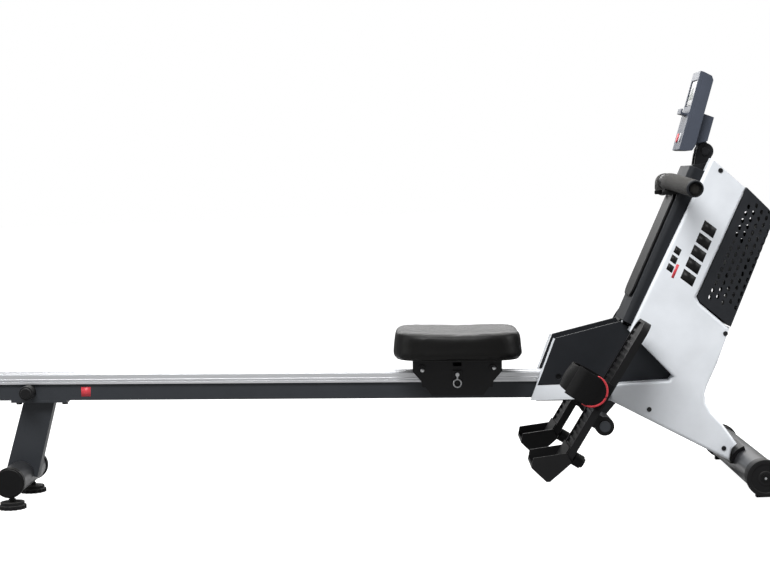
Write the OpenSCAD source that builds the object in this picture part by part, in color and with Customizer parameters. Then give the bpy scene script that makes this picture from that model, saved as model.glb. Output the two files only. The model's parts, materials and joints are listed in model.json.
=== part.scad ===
// Folding rowing machine with a magnetic brake.
// The rail slopes gently down to the front foot, +X points to the flywheel end,
// +Y to the rower's left and +Z up. The floor is at Z = 0.

/* [Rail] */
// Length of the rail from the fold pin to its rear end
rail_len = 1247; // [900:1:1500]
// Width of the painted steel rail body
rail_w = 66; // [50:1:70]
// Height of the painted steel rail body
rail_body_h = 34.5; // [28:0.5:45]
// Height of the aluminium running track
track_h = 19.5; // [16:0.5:26]
// Downward tilt of the rail towards the front, degrees
rail_tilt = 1.57; // [0:0.01:3]
// Height of the fold pin above the floor
pin_z = 212; // [195:1:260]
// Radius of the fold pin
fold_pin_r = 8; // [6:0.5:10]

/* [Feet] */
// Radius of the front foot tube
front_tube_r = 32.5; // [25:0.5:36]
// Length of the front foot tube
front_tube_len = 456; // [380:1:600]
// Radius of the transport wheels
wheel_r = 37; // [32:0.5:42]
// Radius of the rear foot tube
rear_tube_r = 29.5; // [22:0.5:34]
// Length of the rear foot tube
rear_tube_len = 228; // [180:1:420]
// Radius of the levelling pads
pad_r = 29; // [20:1:36]
// Thickness of the levelling pads
pad_t = 15; // [10:1:22]

/* [Housing] */
// Overall width of the flywheel housing
housing_w = 180; // [170:1:230]
// Wall of the plastic housing parts
wall = 3; // [2:0.5:4]
// Width of the dark nose cover
nose_w = 150; // [120:1:156]
// Lean of the mast from the vertical, degrees
mast_lean = 25; // [22:0.5:28]
// Length of the nose cover along the mast
nose_len = 350; // [330:1:360]
// Overall width of the rail bracket with its panels
bracket_w = 106; // [100:1:120]

/* [Drive] */
// Radius of the flywheel
flywheel_r = 55; // [45:1:56]
// Thickness of the flywheel rim
flywheel_t = 26; // [12:1:40]
// Radius of the drive pulley beside the strap drum
pulley_r = 58; // [40:1:60]
// Radius of the strap guide roller
guide_r = 12; // [8:0.5:14]
// Width of the pull strap
strap_w = 40; // [25:1:44]

/* [Handle] */
// Overall width of the handle
handle_w = 457; // [400:1:560]
// Radius of the foam grips
grip_r = 17.5; // [14:0.5:18]
// Radius of the steel handle bar
bar_r = 12.5; // [9:0.5:13]

/* [Seat] */
// Length of the seat pad
seat_l = 266; // [220:1:290]
// Width of the seat pad
seat_w = 280; // [230:1:320]
// Thickness of the seat pad
seat_t = 46; // [36:1:60]
// Length of the seat carriage plates
carriage_l = 187; // [160:1:220]
// Radius of the seat rollers
roller_r = 14; // [10:0.5:16]

/* [Pedals] */
// Distance between the middles of the two pedals
pedal_gap = 341; // [320:1:380]
// Width of a foot plate
plate_w = 110; // [90:1:116]
// Length of a foot plate
plate_l = 330; // [300:1:350]
// Radius of the pedal axle
axle_r = 8; // [6:0.5:10]
// Width of a foot strap band
foot_strap_w = 60; // [40:1:70]
// Height of the arch of a foot strap above the foot plate
arch_h = 76; // [60:1:100]

/* [Console] */
// Width of the console
console_w = 96; // [80:1:160]
// Height of the console
console_h = 168; // [140:1:200]
// Lean of the console from the vertical, degrees
console_lean = 16.9; // [10:0.1:20]

/* [Hidden] */

$fn = 48;
gap = 0.4;          // clearance between pieces that slide past each other
run = 0.05;         // radial clearance of a shaft in its bore

// Driving places, side view (X, Z)
pin_x = 345;
foot_x = 681;
foot_z = 40;
nose_x = 430;
nose_z = 346;
tilt_x = 617;
tilt_z = 691;
pedal_x = 372;
pedal_z = 147;
pedal_angle = 57.6;
wheel_axle_x = 642; // flywheel
wheel_axle_z = 462;
drum_x = 560;
drum_z = 288;
// Bend and outer end of the handle's left half
grip_a = [539, 60, 631];
grip_b = [561, handle_w / 2 - 6, 616];
grille_corner = [716, 548];
grille_corner_r = 26;

// Rail section, measured along the rail's own normal from the fold pin
rail_bottom = -27;
rail_mid = rail_bottom + rail_body_h;
rail_top = rail_mid + track_h;
ledge = rail_top - 2.5;
track_w = rail_w + 10;
cap_t = 12;
end_block = 62;

// Middle of the floor plan, so that the model stands on its own origin
x_rear = pin_x - (rail_len + cap_t) * cos(rail_tilt) + rail_bottom * sin(rail_tilt);
x_front = grille_corner[0] + grille_corner_r;
x_mid = (x_rear + x_front) / 2;

half_h = housing_w / 2;
half_b = bracket_w / 2;
plate_y = half_b - 10;      // inner face of the bracket's side plates
nose_back = 42;             // depth of the nose cover along its normal
slot_z = 309;               // height of the strap's guide roller along the nose
guide_x = 18;               // depth of the guide roller behind the nose's face

// ---- helpers -----------------------------------------------------------

// A side profile in X and Z, extruded from y0 to y1
module slab(y0, y1) {
    translate([0, y1, 0]) rotate([90, 0, 0]) linear_extrude(height = y1 - y0) children();
}

// A round bar along Y
module bar_y(x, z, r, y0, y1) {
    translate([x, y0, z]) rotate([-90, 0, 0]) cylinder(r = r, h = y1 - y0);
}

module both_sides() {
    children();
    mirror([0, 1, 0]) children();
}

// The rail's own frame: origin on the fold pin, x to the front, z off the track
module on_rail() {
    translate([pin_x, 0, pin_z]) rotate([0, rail_tilt, 0]) children();
}

// The mast's own frame: x points inwards from the nose's face, z up along the mast
module on_mast() {
    translate([nose_x, 0, nose_z]) rotate([0, mast_lean, 0]) children();
}

// The console's own frame: origin on its tilt bolt, z up along the display
module on_console() {
    translate([tilt_x, 0, tilt_z]) rotate([0, console_lean, 0]) children();
}

// A pedal's own frame: x along the foot plate to the toe, z towards the foot
module on_pedal() {
    translate([pedal_x, -pedal_gap / 2, pedal_z]) rotate([0, -pedal_angle, 0]) children();
}

// Moves every corner of a counter-clockwise outline inwards by d
function inset(p, d) = [for (i = [0 : len(p) - 1])
    let (a = p[(i + len(p) - 1) % len(p)], b = p[i], c = p[(i + 1) % len(p)],
        u = (b - a) / norm(b - a), v = (c - b) / norm(c - b),
        nu = [-u[1], u[0]], nv = [-v[1], v[0]])
    b + (nu + nv) * d / (1 + nu * nv)];

// Points of an arc about c from angle a0 to a1
function arc(c, r, a0, a1, n = 8) =
    [for (i = [0 : n]) c + r * [cos(a0 + (a1 - a0) * i / n), sin(a0 + (a1 - a0) * i / n)]];

// Rounded rectangle in the plane, centred
module round_rect(w, h, r) {
    square([w - 2 * r, h], center = true);
    square([w, h - 2 * r], center = true);
    for (x = [-1, 1], y = [-1, 1])
        translate([x * (w / 2 - r), y * (h / 2 - r)]) circle(r = r);
}

// ---- frame ---------------------------------------------------------------

beam_slope = -29;
beam_t = 52;
beam_a = [pin_x + 79, 178];
function along_beam(s, n) =
    beam_a + s * [cos(beam_slope), sin(beam_slope)] + n * [-sin(beam_slope), cos(beam_slope)];

module beam_profile() {
    polygon([beam_a, along_beam(262, 0), along_beam(262, beam_t * 0.45),
        along_beam(190, beam_t), [beam_a[0], along_beam(0, beam_t)[1] + beam_t * 0.27]]);
}

module base_beam() color("#2a2b2e") difference() {
    slab(-30, 30) beam_profile();
    bar_y(foot_x, foot_z, front_tube_r, -40, 40);
    // hollow middle of the box section
    slab(-27, 27) polygon([along_beam(8, 3), along_beam(225, 3),
        along_beam(225, beam_t * 0.45), along_beam(188, beam_t - 3),
        along_beam(8, beam_t - 3)]);
}

module mast_tube() color("#2a2b2e") difference() {
    union() {
        on_mast() translate([nose_back + 2, -22, -90]) cube([38, 44, nose_len + 82]);
        // ears that hold the flywheel axle and the drum axle
        both_sides() {
            slab(43, 47) polygon([[522, 470], [wheel_axle_x - 2, wheel_axle_z + 16],
                [wheel_axle_x + 14, wheel_axle_z], [wheel_axle_x, wheel_axle_z - 14],
                [508, 400]]);
            slab(43, 47) polygon([[458, 330], [drum_x - 4, 304],
                [drum_x + 14, 290], [drum_x, 274], [450, 280]]);
            for (p = [[532, 446], [466, 306]])
                bar_y(p[0], p[1], 7, 20, 45);
            // ears of the strap's guide roller
            on_mast() translate([guide_x - 8, strap_w / 2 + 2.6, slot_z - 8])
                cube([nose_back + 18 - guide_x, 4.4, 16]);
            on_mast() translate([nose_back + 4, 21, slot_z - 8])
                cube([14, strap_w / 2 - 18, 16]);
        }
    }
    // seat on the beam
    slab(-60, 60) polygon([along_beam(-60, beam_t), along_beam(-60, -80),
        along_beam(260, -80), along_beam(260, beam_t)]);
    slab(-60, 60) polygon([[300, 100], [beam_a[0] + 0.2, 100], [beam_a[0] + 0.2, 400],
        [300, 400]]);
    bar_y(wheel_axle_x, wheel_axle_z, 8, -50, 50);
    bar_y(drum_x, drum_z, 8, -50, 50);
    on_mast() bar_y(guide_x, slot_z, 4 + run, -40, 40);
}

bracket_left = pin_x - 98;
module rail_bracket() color("#2b2c30") difference() {
    union() {
        both_sides() slab(plate_y, plate_y + 4) polygon([[bracket_left, 182],
            [bracket_left + 45, 302], [beam_a[0], 334], [beam_a[0], 178]]);
        // web under the rail
        intersection() {
            on_rail() translate([-110, -plate_y - 2, rail_bottom - 4.5])
                cube([220, 2 * plate_y + 4, 4]);
            slab(-60, 60) polygon([[bracket_left + 2, 100], [beam_a[0] - 2, 100],
                [beam_a[0] - 2, 300], [bracket_left + 2, 300]]);
        }
        // front wall that carries the beam and the mast
        translate([beam_a[0] - 4, -plate_y - 2, 183]) cube([3.5, 2 * plate_y + 4, 148]);
    }
    bar_y(pin_x, pin_z, fold_pin_r, -60, 60);
    bar_y(bracket_left + 48, 232, 5 + run, 0, 60);
}

module fold_pin() color("#9a9ca0") {
    bar_y(pin_x, pin_z, fold_pin_r, -plate_y - 4, plate_y + 4);
    both_sides() bar_y(pin_x, pin_z, fold_pin_r + 3, plate_y + 4, plate_y + 5.8);
}

// Spring pull pin of the fold, drawn here as pulled clear of the rail
module fold_lock() color("#1c1c1e") {
    bar_y(bracket_left + 48, 232, 5, plate_y + 0.2, half_b + 8);
    bar_y(bracket_left + 48, 232, 13, half_b + 8, half_b + 22);
    bar_y(bracket_left + 48, 232, 10, half_b + 22, half_b + 26);
}

// ---- feet ------------------------------------------------------------------

front_half = front_tube_len / 2;
module front_foot_tube() color("#8b8d90") difference() {
    bar_y(foot_x, foot_z, front_tube_r, -front_half, front_half);
    both_sides() bar_y(foot_x, foot_z, front_tube_r - 2.5, 60, front_half + 1);
}

module front_foot_caps() color("#161618") both_sides() {
    difference() {
        union() {
            bar_y(foot_x, foot_z, front_tube_r + 2.5, front_half, front_half + 20);
            bar_y(foot_x, foot_z, front_tube_r + 1, front_half - 14, front_half);
            translate([foot_x - 16, front_half + 2, 0]) cube([32, 16, foot_z]);
        }
        bar_y(foot_x, foot_z, front_tube_r, front_half - 15, front_half);
    }
    bar_y(foot_x, foot_z, 8, front_half + 20, front_half + 34);
}

module transport_wheel_right() color("#141416") mirror([0, 1, 0]) difference() {
    bar_y(foot_x, foot_z, wheel_r, front_half + 20.4, front_half + 33);
    bar_y(foot_x, foot_z, 8 + run, front_half, front_half + 40);
    difference() {
        bar_y(foot_x, foot_z, wheel_r - 8, front_half + 31, front_half + 34);
        bar_y(foot_x, foot_z, 14, front_half + 30, front_half + 35);
    }
}
module transport_wheel_left() mirror([0, 1, 0]) transport_wheel_right();

rear_x = pin_x - 1196;
rear_z = 57;
rear_half = rear_tube_len / 2;
stud_y = rear_half - 14;

module rear_foot_tube() color("#8b8d90") difference() {
    bar_y(rear_x, rear_z, rear_tube_r, -rear_half, rear_half);
    both_sides() {
        bar_y(rear_x, rear_z, rear_tube_r - 2.5, 30, rear_half + 1);
        translate([rear_x, stud_y, 10]) cylinder(r = 5 + run, h = 40);
    }
}

module rear_foot_caps() color("#161618") both_sides() difference() {
    union() {
        bar_y(rear_x, rear_z, rear_tube_r + 2, rear_half - 5, rear_half + 9);
        bar_y(rear_x, rear_z, rear_tube_r - 1, rear_half + 9, rear_half + 11);
    }
    bar_y(rear_x, rear_z, rear_tube_r, rear_half - 6, rear_half);
}

module leveller() {
    translate([rear_x, 0, 0]) {
        // grip teeth round the rim
        linear_extrude(height = pad_t * 0.55) polygon([for (i = [0 : 63])
            (pad_r - (i % 4 < 2 ? 0 : 2)) * [cos(i * 5.625), sin(i * 5.625)]]);
        translate([0, 0, pad_t * 0.55 - 1]) cylinder(r = pad_r - 4, h = pad_t * 0.45 + 1);
        translate([0, 0, pad_t]) cylinder(r = 7.5, h = 6);
        translate([0, 0, pad_t + 6]) cylinder(r = 5, h = 17);
    }
}
module leveller_right() color("#141416") translate([0, -stud_y, 0]) leveller();
module leveller_left() color("#141416") translate([0, stud_y, 0]) leveller();

// ---- rail ------------------------------------------------------------------

module rail_body() color("#3b3d42") on_rail() difference() {
    union() {
        translate([-rail_len, -rail_w / 2, rail_bottom])
            cube([rail_len, rail_w, rail_body_h]);
        // end block with the round nose that turns in the bracket
        translate([-end_block, -rail_w / 2, rail_bottom])
            cube([end_block, rail_w, rail_top - rail_bottom]);
        bar_y(0, 0, -rail_bottom, -plate_y + 1, plate_y - 1);
    }
    translate([-rail_len - 1, -rail_w / 2 + 3, rail_bottom + 3])
        cube([rail_len - end_block, rail_w - 6, rail_body_h - 6]);
    bar_y(0, 0, fold_pin_r + run, -60, 60);
}

module rail_track() color("#c9ccd0") on_rail() {
    translate([-rail_len, 0, 0]) rotate([90, 0, 90])
        linear_extrude(height = rail_len - end_block) difference() {
            union() {
                translate([-track_w / 2, rail_mid]) square([track_w, 4]);
                for (s = [-1, 1]) {
                    translate([s * (track_w / 2 - 3) - 3, rail_mid]) square([6, 10]);
                    translate([s * (track_w / 2 - 5) - 3.5, rail_mid + 8])
                        square([7, track_h - 8]);
                    translate([s * 23 - 10, rail_mid]) square([20, track_h - 2.5]);
                }
                translate([-14, rail_mid]) square([28, track_h]);
            }
            for (s = [-1, 1]) {
                translate([s * 23 - 6, rail_mid + 4]) square([12, track_h - 11]);
                translate([s * (track_w / 2 - 1) - 1, rail_mid + 5]) square([2, 2.5]);
            }
        }
}

module rail_end_cap() color("#161618") on_rail() {
    translate([-rail_len - cap_t, -track_w / 2, rail_bottom])
        cube([cap_t, track_w, rail_top - rail_bottom]);
    translate([-rail_len, -rail_w / 2 + 3, rail_bottom + 3])
        cube([20, rail_w - 6, rail_body_h - 6]);
}

leg_plate_t = 5;
leg_plate_len = 118;
// Rail-frame x of the leg plate's middle
leg_mid = -1145;
module rear_leg() color("#45474c") {
    difference() {
        slab(-15, 15) polygon([[-836, 215], [-770, 215], [-815, 50], [-880, 70]]);
        bar_y(rear_x, rear_z, rear_tube_r, -40, 40);
        on_rail() translate([-rail_len, -50, rail_bottom - leg_plate_t])
            cube([rail_len, 100, 60]);
    }
    on_rail() difference() {
        translate([leg_mid - leg_plate_len / 2, -rail_w / 2, rail_bottom - leg_plate_t])
            cube([leg_plate_len, rail_w, leg_plate_t]);
        for (s = [-1, 1]) translate([leg_mid + s * 49, 0, rail_bottom - leg_plate_t - 1])
            cylinder(r = 4, h = 8);
    }
}

module rear_leg_bolts() color("#2c2d30") on_rail() for (s = [-1, 1])
    translate([leg_mid + s * 49, 0, rail_bottom]) {
        translate([0, 0, -leg_plate_t]) cylinder(r = 4, h = leg_plate_t);
        translate([0, 0, -leg_plate_t - 2]) cylinder(r = 9, h = 2);
        translate([0, 0, -leg_plate_t - 7]) cylinder(r = 6.5, h = 5, $fn = 6);
    }

buffer_x = -1165;
buffer_z = -8.5;
module stop_buffers() color("#161618") on_rail() both_sides() {
    bar_y(buffer_x, buffer_z, 15, rail_w / 2, track_w / 2 + 28);
    bar_y(buffer_x, buffer_z, 11, track_w / 2 + 28, track_w / 2 + 31);
}

// ---- seat ------------------------------------------------------------------

seat_x = -262;      // rail-frame x of the carriage's middle
car_in = track_w / 2 + 9;   // inner face of the carriage plates
roller_z = ledge + roller_r + 0.3;
car_top = roller_z + roller_r + 5.2;
axle_span = 74;

module carriage() color("#232428") on_rail() translate([seat_x, 0, 0]) difference() {
    union() {
        both_sides() slab(car_in, car_in + 4) polygon([
            [-carriage_l / 2, car_top], [carriage_l / 2, car_top],
            [carriage_l / 2, rail_top + 4], [carriage_l / 2 - 17, rail_mid + 4],
            [carriage_l / 2 - 40, rail_bottom + 7], [-carriage_l / 2 + 40, rail_bottom + 7],
            [-carriage_l / 2 + 17, rail_mid + 4], [-carriage_l / 2, rail_top + 4]]);
        translate([-carriage_l / 2, -car_in, car_top - 4]) cube([carriage_l, 2 * car_in, 4]);
        // wider top flange under the pad
        translate([-80, -95, car_top]) cube([160, 190, 4]);
        // glide pads under the track's lip
        for (x = [-60, 60]) both_sides()
            translate([x - 14, car_in - 9.5, rail_mid - 10]) cube([28, 9.5, 9.4]);
        // bearing pins of the rollers
        for (x = [-1, 1]) both_sides() {
            bar_y(x * axle_span, roller_z, 5, 14, car_in + 4);
            bar_y(x * axle_span, roller_z, 6.5, car_in + 4, car_in + 8);
        }
        both_sides() translate([-10, car_in + 4, rail_top - 10]) cube([20, 5, 16]);
    }
    for (s = [-1, 1]) translate([-9, s * (car_in + 2) - 5, rail_top + 15])
        cube([18, 10, 8]);
    bar_y(0, rail_top - 2, 4 + run, -80, 80);
}

// A pair of rollers that turns on the carriage's pins
module roller_pair(x) on_rail() translate([seat_x + x, 0, 0]) both_sides() difference() {
    bar_y(0, roller_z, roller_r, 16, 29);
    bar_y(0, roller_z, 5 + run, 0, 40);
}
module rollers_front() color("#d8d9da") roller_pair(axle_span);
module rollers_rear() color("#d8d9da") roller_pair(-axle_span);

// Seat lock: a pull pin with a ring, drawn pulled clear of the track
module lock_pin() color("#a8aaad") on_rail() translate([seat_x, 0, 0]) {
    bar_y(0, rail_top - 2, 4, -car_in - 16, -car_in + 0.5);
    translate([0, -car_in - 13, rail_top - 12]) cylinder(r = 2, h = 8);
    translate([0, -car_in - 13, rail_top - 20]) rotate([90, 0, 0])
        rotate_extrude() translate([8, 0]) circle(r = 1.6);
}

module seat_pad() color("#1b1b1d") on_rail()
    translate([seat_x + 5, 0, car_top + 4.4]) intersection() {
        union() {
            linear_extrude(height = seat_t - 6) round_rect(seat_l, seat_w, 62);
            translate([0, 0, seat_t - 6]) linear_extrude(height = 6)
                round_rect(seat_l - 16, seat_w - 16, 56);
        }
        translate([-seat_l, -seat_w, 0]) cube([2 * seat_l, 2 * seat_w, seat_t]);
    }

// ---- housing -----------------------------------------------------------------

// Side outline of the silver housing, counter-clockwise from its top corner
casing_edge = [[619, 676], [441, 326], [529, 229], [521, 220], [400, 216], [397, 183],
    [641, 49], [646, 74], [657, 84], [627.7, 126.6], [606, 151], [595, 170], [593, 190],
    [598, 206], [619, 250], [648, 326], [640, 330], [586, 379], [580, 392], [676, 590],
    [687, 612]];

// Part of the outline's rim that wraps to the middle, without the nose's side
module casing_profile(d) { polygon(inset(casing_edge, d)); }

module casing_right() color("#dfe3e8") mirror([0, 1, 0]) difference() {
    union() {
        difference() {
            slab(0.2, half_h) casing_profile(0);
            slab(-1, half_h - wall) casing_profile(wall);
            // the nose side and the notch of the inset stay open
            slab(-1, half_b) polygon([[300, 120], [396, 172], [396, 190], [540, 214],
                [545, 250], [470, 330], [640, 690], [600, 760], [300, 760]]);
            // the grille closes this stretch
            slab(-1, half_h - wall) polygon([[586, 360], [640, 322], [655, 380],
                [720, 600], [690, 606], [676, 600], [574, 396]]);
        }
        // low channel wall beside the rail
        difference() {
            slab(half_b - 6, half_b) polygon([[235, 184], [392, 183.5], [392, 215.5],
                [250, 215], [290, 312], [286.5, 313.3]]);
            bar_y(pin_x, pin_z, fold_pin_r + 4, 0, plate_y + 6.5);
        }
        translate([0, 0, 183.5]) linear_extrude(height = 32) polygon([[380, half_b - 5],
            [386, half_b - 5], [401, half_h - 2], [401, half_h - 0.5],
            [393, half_h - 0.5], [380, half_b - 0.5]]);
    }
    bar_y(foot_x, foot_z, front_tube_r + 8.2, -1, half_h + 1);
    for (p = screw_places) bar_y(p[0], p[1], 3, 0, half_h + 1);
    // room for the beam, the bracket's plates and the nose cover
    slab(-1, 30.5) offset(delta = 0.5) beam_profile();
    slab(-1, plate_y + 4.5) polygon([[390, 150], [beam_a[0] + 0.5, 150],
        [beam_a[0] + 0.5, 200], [390, 200]]);
    on_mast() translate([-20, -1, -5]) cube([nose_back + 20.5, half_n + 1.5, nose_len + 5.5]);
}
module casing_left() mirror([0, 1, 0]) casing_right();

screw_places = [[636, 650], [638, 314], [477, 162], [629, 76]];
module casing_screws() color("#121214") both_sides() for (p = screw_places) {
    bar_y(p[0], p[1], 5, half_h, half_h + 1.6);
    bar_y(p[0], p[1], 3, half_h - 12, half_h);
}

// Dark panel let into the side of the rail channel, with its pointed wing
module inset_right() color("#34363b") mirror([0, 1, 0]) difference() {
    slab(half_b - 5.6, half_b - 0.4) polygon([[251.2, 216.2], [393, 217.2], [396, 210],
        [524, 214], [540, 227], [452, 329], [433, 337], [428, 344], [292, 313.4]]);
    bar_y(bracket_left + 48, 232, 6, 0, half_b + 1);
    bar_y(pin_x, pin_z, fold_pin_r + 4, 0, plate_y + 6.5);
}
module inset_left() mirror([0, 1, 0]) inset_right();

// Outline of the perforated grille
grille_edge = concat([[649.5, 327.5]], arc(grille_corner, grille_corner_r, -24.5, 45),
    [[689, 613.5], [678, 589.5], [582, 391.5], [588, 380.5]]);

hole_dir = 24.5;
function hole(x, z) = let (u = [sin(hole_dir), cos(hole_dir)], v = [cos(hole_dir), -sin(hole_dir)])
    [for (q = [[-3.1, -1.5], [0, -5.5], [3.1, -4], [3.1, 1.5], [0, 5.5], [-3.1, 4]])
        [x, z] + q[0] * v + q[1] * u];

module grille_right() color("#3a3c42") mirror([0, 1, 0]) {
    slab(half_h - 4, half_h - 1) difference() {
        polygon(grille_edge);
        for (i = [0 : 5], j = [0 : 13])
            let (s = 14 + j * 15.5 + (i % 2) * 7.7, w = 16 + i * 14.3,
                p = [588 + w * cos(hole_dir) + s * sin(hole_dir),
                    384 - w * sin(hole_dir) + s * cos(hole_dir)])
            if (!(i == 5 && j == 13)) polygon(hole(p[0], p[1]));
    }
    // rim that wraps round the front to the middle
    slab(0.2, half_h - 4) difference() {
        polygon(grille_edge);
        polygon(inset(grille_edge, wall));
        polygon([[640, 320], [575, 375], [575, 398], [676, 604], [684, 604], [600, 395],
            [652, 336]]);
    }
}
module grille_left() mirror([0, 1, 0]) grille_right();

half_n = nose_w / 2;
module nose_cover() color("#3b3d43") difference() {
    on_mast() difference() {
        linear_extrude(height = nose_len) difference() {
            union() {
                translate([12, -half_n]) square([nose_back - 12, nose_w]);
                translate([0, -half_n + 12]) square([20, nose_w - 24]);
                for (s = [-1, 1]) translate([12, s * (half_n - 12)]) circle(r = 12);
            }
            translate([wall, -half_n + wall + 8]) square([60, nose_w - 2 * wall - 16]);
            translate([14, -half_n + wall]) square([60, nose_w - 2 * wall]);
        }
        translate([-5, -strap_w / 2 - 4, slot_z - 3]) cube([16, strap_w + 8, 17]);
    }
    slab(-120, 120) polygon([[300, 300], [700, 300], [700, 337], [431, 337], [429, 348],
        [300, 348]]);
}

rest_z = grip_a[2] - grip_r - 0.8;
function nose_face(z) = nose_x + (z - nose_z) * tan(mast_lean);

cover_low = 52;
cover_high = 292;
cover_t = 6;

// Raised cover on the nose, with the handle's rests above it
module strap_cover() color("#26272b") {
    on_mast() translate([0, 0, (cover_low + cover_high) / 2]) rotate([0, -90, 0])
        linear_extrude(height = cover_t) round_rect(cover_high - cover_low, 110, 24);
    // level rests under the handle, standing on the nose's face
    both_sides() slab(56, 62) polygon([[520, rest_z - 9], [nose_face(rest_z - 9), rest_z - 9],
        [nose_face(rest_z), rest_z], [520, rest_z]]);
}

module saddle_trim() color("#141416") difference() {
    slab(-half_h, half_h) difference() {
        translate([foot_x, foot_z]) circle(r = front_tube_r + 7.6);
        translate([foot_x, foot_z]) circle(r = front_tube_r + 0.1);
        polygon([[foot_x + 5, foot_z - 60], [foot_x + 60, foot_z - 60],
            [foot_x + 60, foot_z + 80], [foot_x - 20, foot_z + 80], [foot_x, foot_z]]);
        polygon([[foot_x - 60, foot_z - 60], [foot_x + 60, foot_z - 60],
            [foot_x + 60, foot_z], [foot_x, foot_z], [foot_x - 60, foot_z + 6]]);
    }
    slab(-30.4, 30.4) offset(delta = 0.4) beam_profile();
}

// ---- drive -------------------------------------------------------------------

module flywheel_axle() color("#9c9ea2") {
    bar_y(wheel_axle_x, wheel_axle_z, 8, -56, 56);
    bar_y(drum_x, drum_z, 8, -56, 56);
}

module flywheel() color("#8e9094") difference() {
    union() {
        bar_y(wheel_axle_x, wheel_axle_z, flywheel_r, -flywheel_t / 2, flywheel_t / 2);
        bar_y(wheel_axle_x, wheel_axle_z, hub_r, -flywheel_t / 2 - 24, flywheel_t / 2 + 4);
    }
    both_sides() difference() {
        bar_y(wheel_axle_x, wheel_axle_z, flywheel_r - 16, 5, flywheel_t);
        bar_y(wheel_axle_x, wheel_axle_z, 17, 4, flywheel_t + 1);
    }
    bar_y(wheel_axle_x, wheel_axle_z, 8 + run, -60, 60);
}

module strap_drum() color("#4a4b4f") difference() {
    union() {
        bar_y(drum_x, drum_z, 30, -18, 26);
        for (y = [-21, 26]) bar_y(drum_x, drum_z, 44, y, y + 3);
        bar_y(drum_x, drum_z, pulley_r, -37, -25);
        bar_y(drum_x, drum_z, 18, -26, -20);
    }
    bar_y(drum_x, drum_z, 8 + run, -60, 60);
}

// Belt from the pulley to the flywheel's hub, as the two straight runs that touch both
hub_r = 16;
belt_t = 2.2;
module drive_belt() color("#18181a") for (s = [-1, 1]) {
    a = [drum_x, drum_z];
    b = [wheel_axle_x, wheel_axle_z];
    u = (b - a) / norm(b - a);
    k = (pulley_r - hub_r) / norm(b - a);
    m = u * k + s * sqrt(1 - k * k) * [u[1], -u[0]];
    slab(-35, -27) polygon([a + (pulley_r + gap) * m, b + (hub_r + gap) * m,
        b + (hub_r + gap + belt_t) * m, a + (pulley_r + gap + belt_t) * m]);
}

// Brake arm on its own pivot, with three magnets beside the flywheel's rim
arm_x = 574;
arm_z = 412;
magnet_r = 46;
module magnet_arm() color("#55575b") {
    slab(20, 26) polygon([[arm_x - 7, arm_z - 4], [arm_x + 30, arm_z - 14],
        [wheel_axle_x - 8, wheel_axle_z - 57], [wheel_axle_x - 8, wheel_axle_z - 38],
        [wheel_axle_x - 38, wheel_axle_z - 20], [arm_x + 10, arm_z + 12],
        [arm_x - 4, arm_z + 6]]);
    bar_y(arm_x, arm_z, 7, 20, 40);
    for (i = [0 : 2]) bar_y(wheel_axle_x + magnet_r * cos(213 + i * 18),
        wheel_axle_z + magnet_r * sin(213 + i * 18), 5, flywheel_t / 2 + 1, 20);
}

module recoil_spring() color("#6d6f73") difference() {
    bar_y(drum_x, drum_z, 34, 30, 42);
    bar_y(drum_x, drum_z, 8, 20, 50);
}

module guide_roller() color("#d0d1d3") on_mast() {
    bar_y(guide_x, slot_z, guide_r, -strap_w / 2 - 2, strap_w / 2 + 2);
    bar_y(guide_x, slot_z, 4, -strap_w / 2 - 8, strap_w / 2 + 8);
}

// ---- pedals ------------------------------------------------------------------

module pedal_axle() color("#303135") {
    bar_y(pedal_x, pedal_z, axle_r, -pedal_gap / 2 - 46, pedal_gap / 2 + 46);
    both_sides() difference() {
        slab(18, 24) polygon([[350, 180.2], [beam_a[0], 178.1], [pedal_x + 16, 138],
            [pedal_x - 16, 138]]);
        bar_y(pedal_x, pedal_z, axle_r, 0, 60);
    }
    both_sides() bar_y(pedal_x, pedal_z, axle_r + 3, pedal_gap / 2 + 42, pedal_gap / 2 + 46);
}

plate_back = 24;
plate_t = 15;
plate_heel = -108;
half_p = plate_w / 2;
hub_half = 40;

module footplate_right() color("#222326") on_pedal() difference() {
    union() {
        translate([plate_heel + plate_l / 2, 0, plate_back])
            linear_extrude(height = plate_t - 5) round_rect(plate_l, plate_w, 26);
        // raised edge round the tread
        translate([plate_heel + plate_l / 2, 0, plate_back + plate_t - 5])
            linear_extrude(height = 5) difference() {
                round_rect(plate_l, plate_w, 26);
                round_rect(plate_l - 12, plate_w - 12, 20);
            }
        for (i = [0 : 21]) translate([plate_heel + 20 + i * 13.4, -half_p + 10,
            plate_back + plate_t - 5]) cube([5, plate_w - 20, 3]);
        bar_y(0, 0, 19, -hub_half, hub_half);
        translate([-14, -hub_half, 0]) cube([28, 2 * hub_half, plate_back]);
    }
    bar_y(0, 0, axle_r + run, -90, 90);
    translate([-90, 0, 0]) cylinder(r = 4 + run, h = 60);
}
module footplate_left() mirror([0, 1, 0]) footplate_right();

cup_t = 4;
module heel_cup_right() color("#2a2b2d") on_pedal() {
    base = plate_back + plate_t + gap;
    both_sides() slab(half_p + gap, half_p + gap + cup_t) polygon([[-96, 22], [-150, 40],
        [-154, 46], [-145, 86], [-126, 93], [-84, base + 2]]);
    translate([-140, -half_p - gap, base]) cube([68, plate_w + 2 * gap, 2.5]);
    slab(-half_p - gap, half_p + gap) polygon([[-150, 40], [-154, 46], [-145, 86],
        [-141, 86], [-148, 46], [-130, 38.5]]);
}
module heel_cup_left() mirror([0, 1, 0]) heel_cup_right();

// Spring pull knob behind the heel, drawn pulled clear of the cup
module heel_knob_right() color("#1a1a1c") on_pedal() translate([-90, 0, 0]) {
    translate([0, 0, -4]) cylinder(r = 13.5, h = 20);
    translate([0, 0, -8]) cylinder(r = 10, h = 4);
    translate([0, 0, 16]) cylinder(r = 4, h = plate_t + 6);
}
module heel_knob_left() mirror([0, 1, 0]) heel_knob_right();

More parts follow.
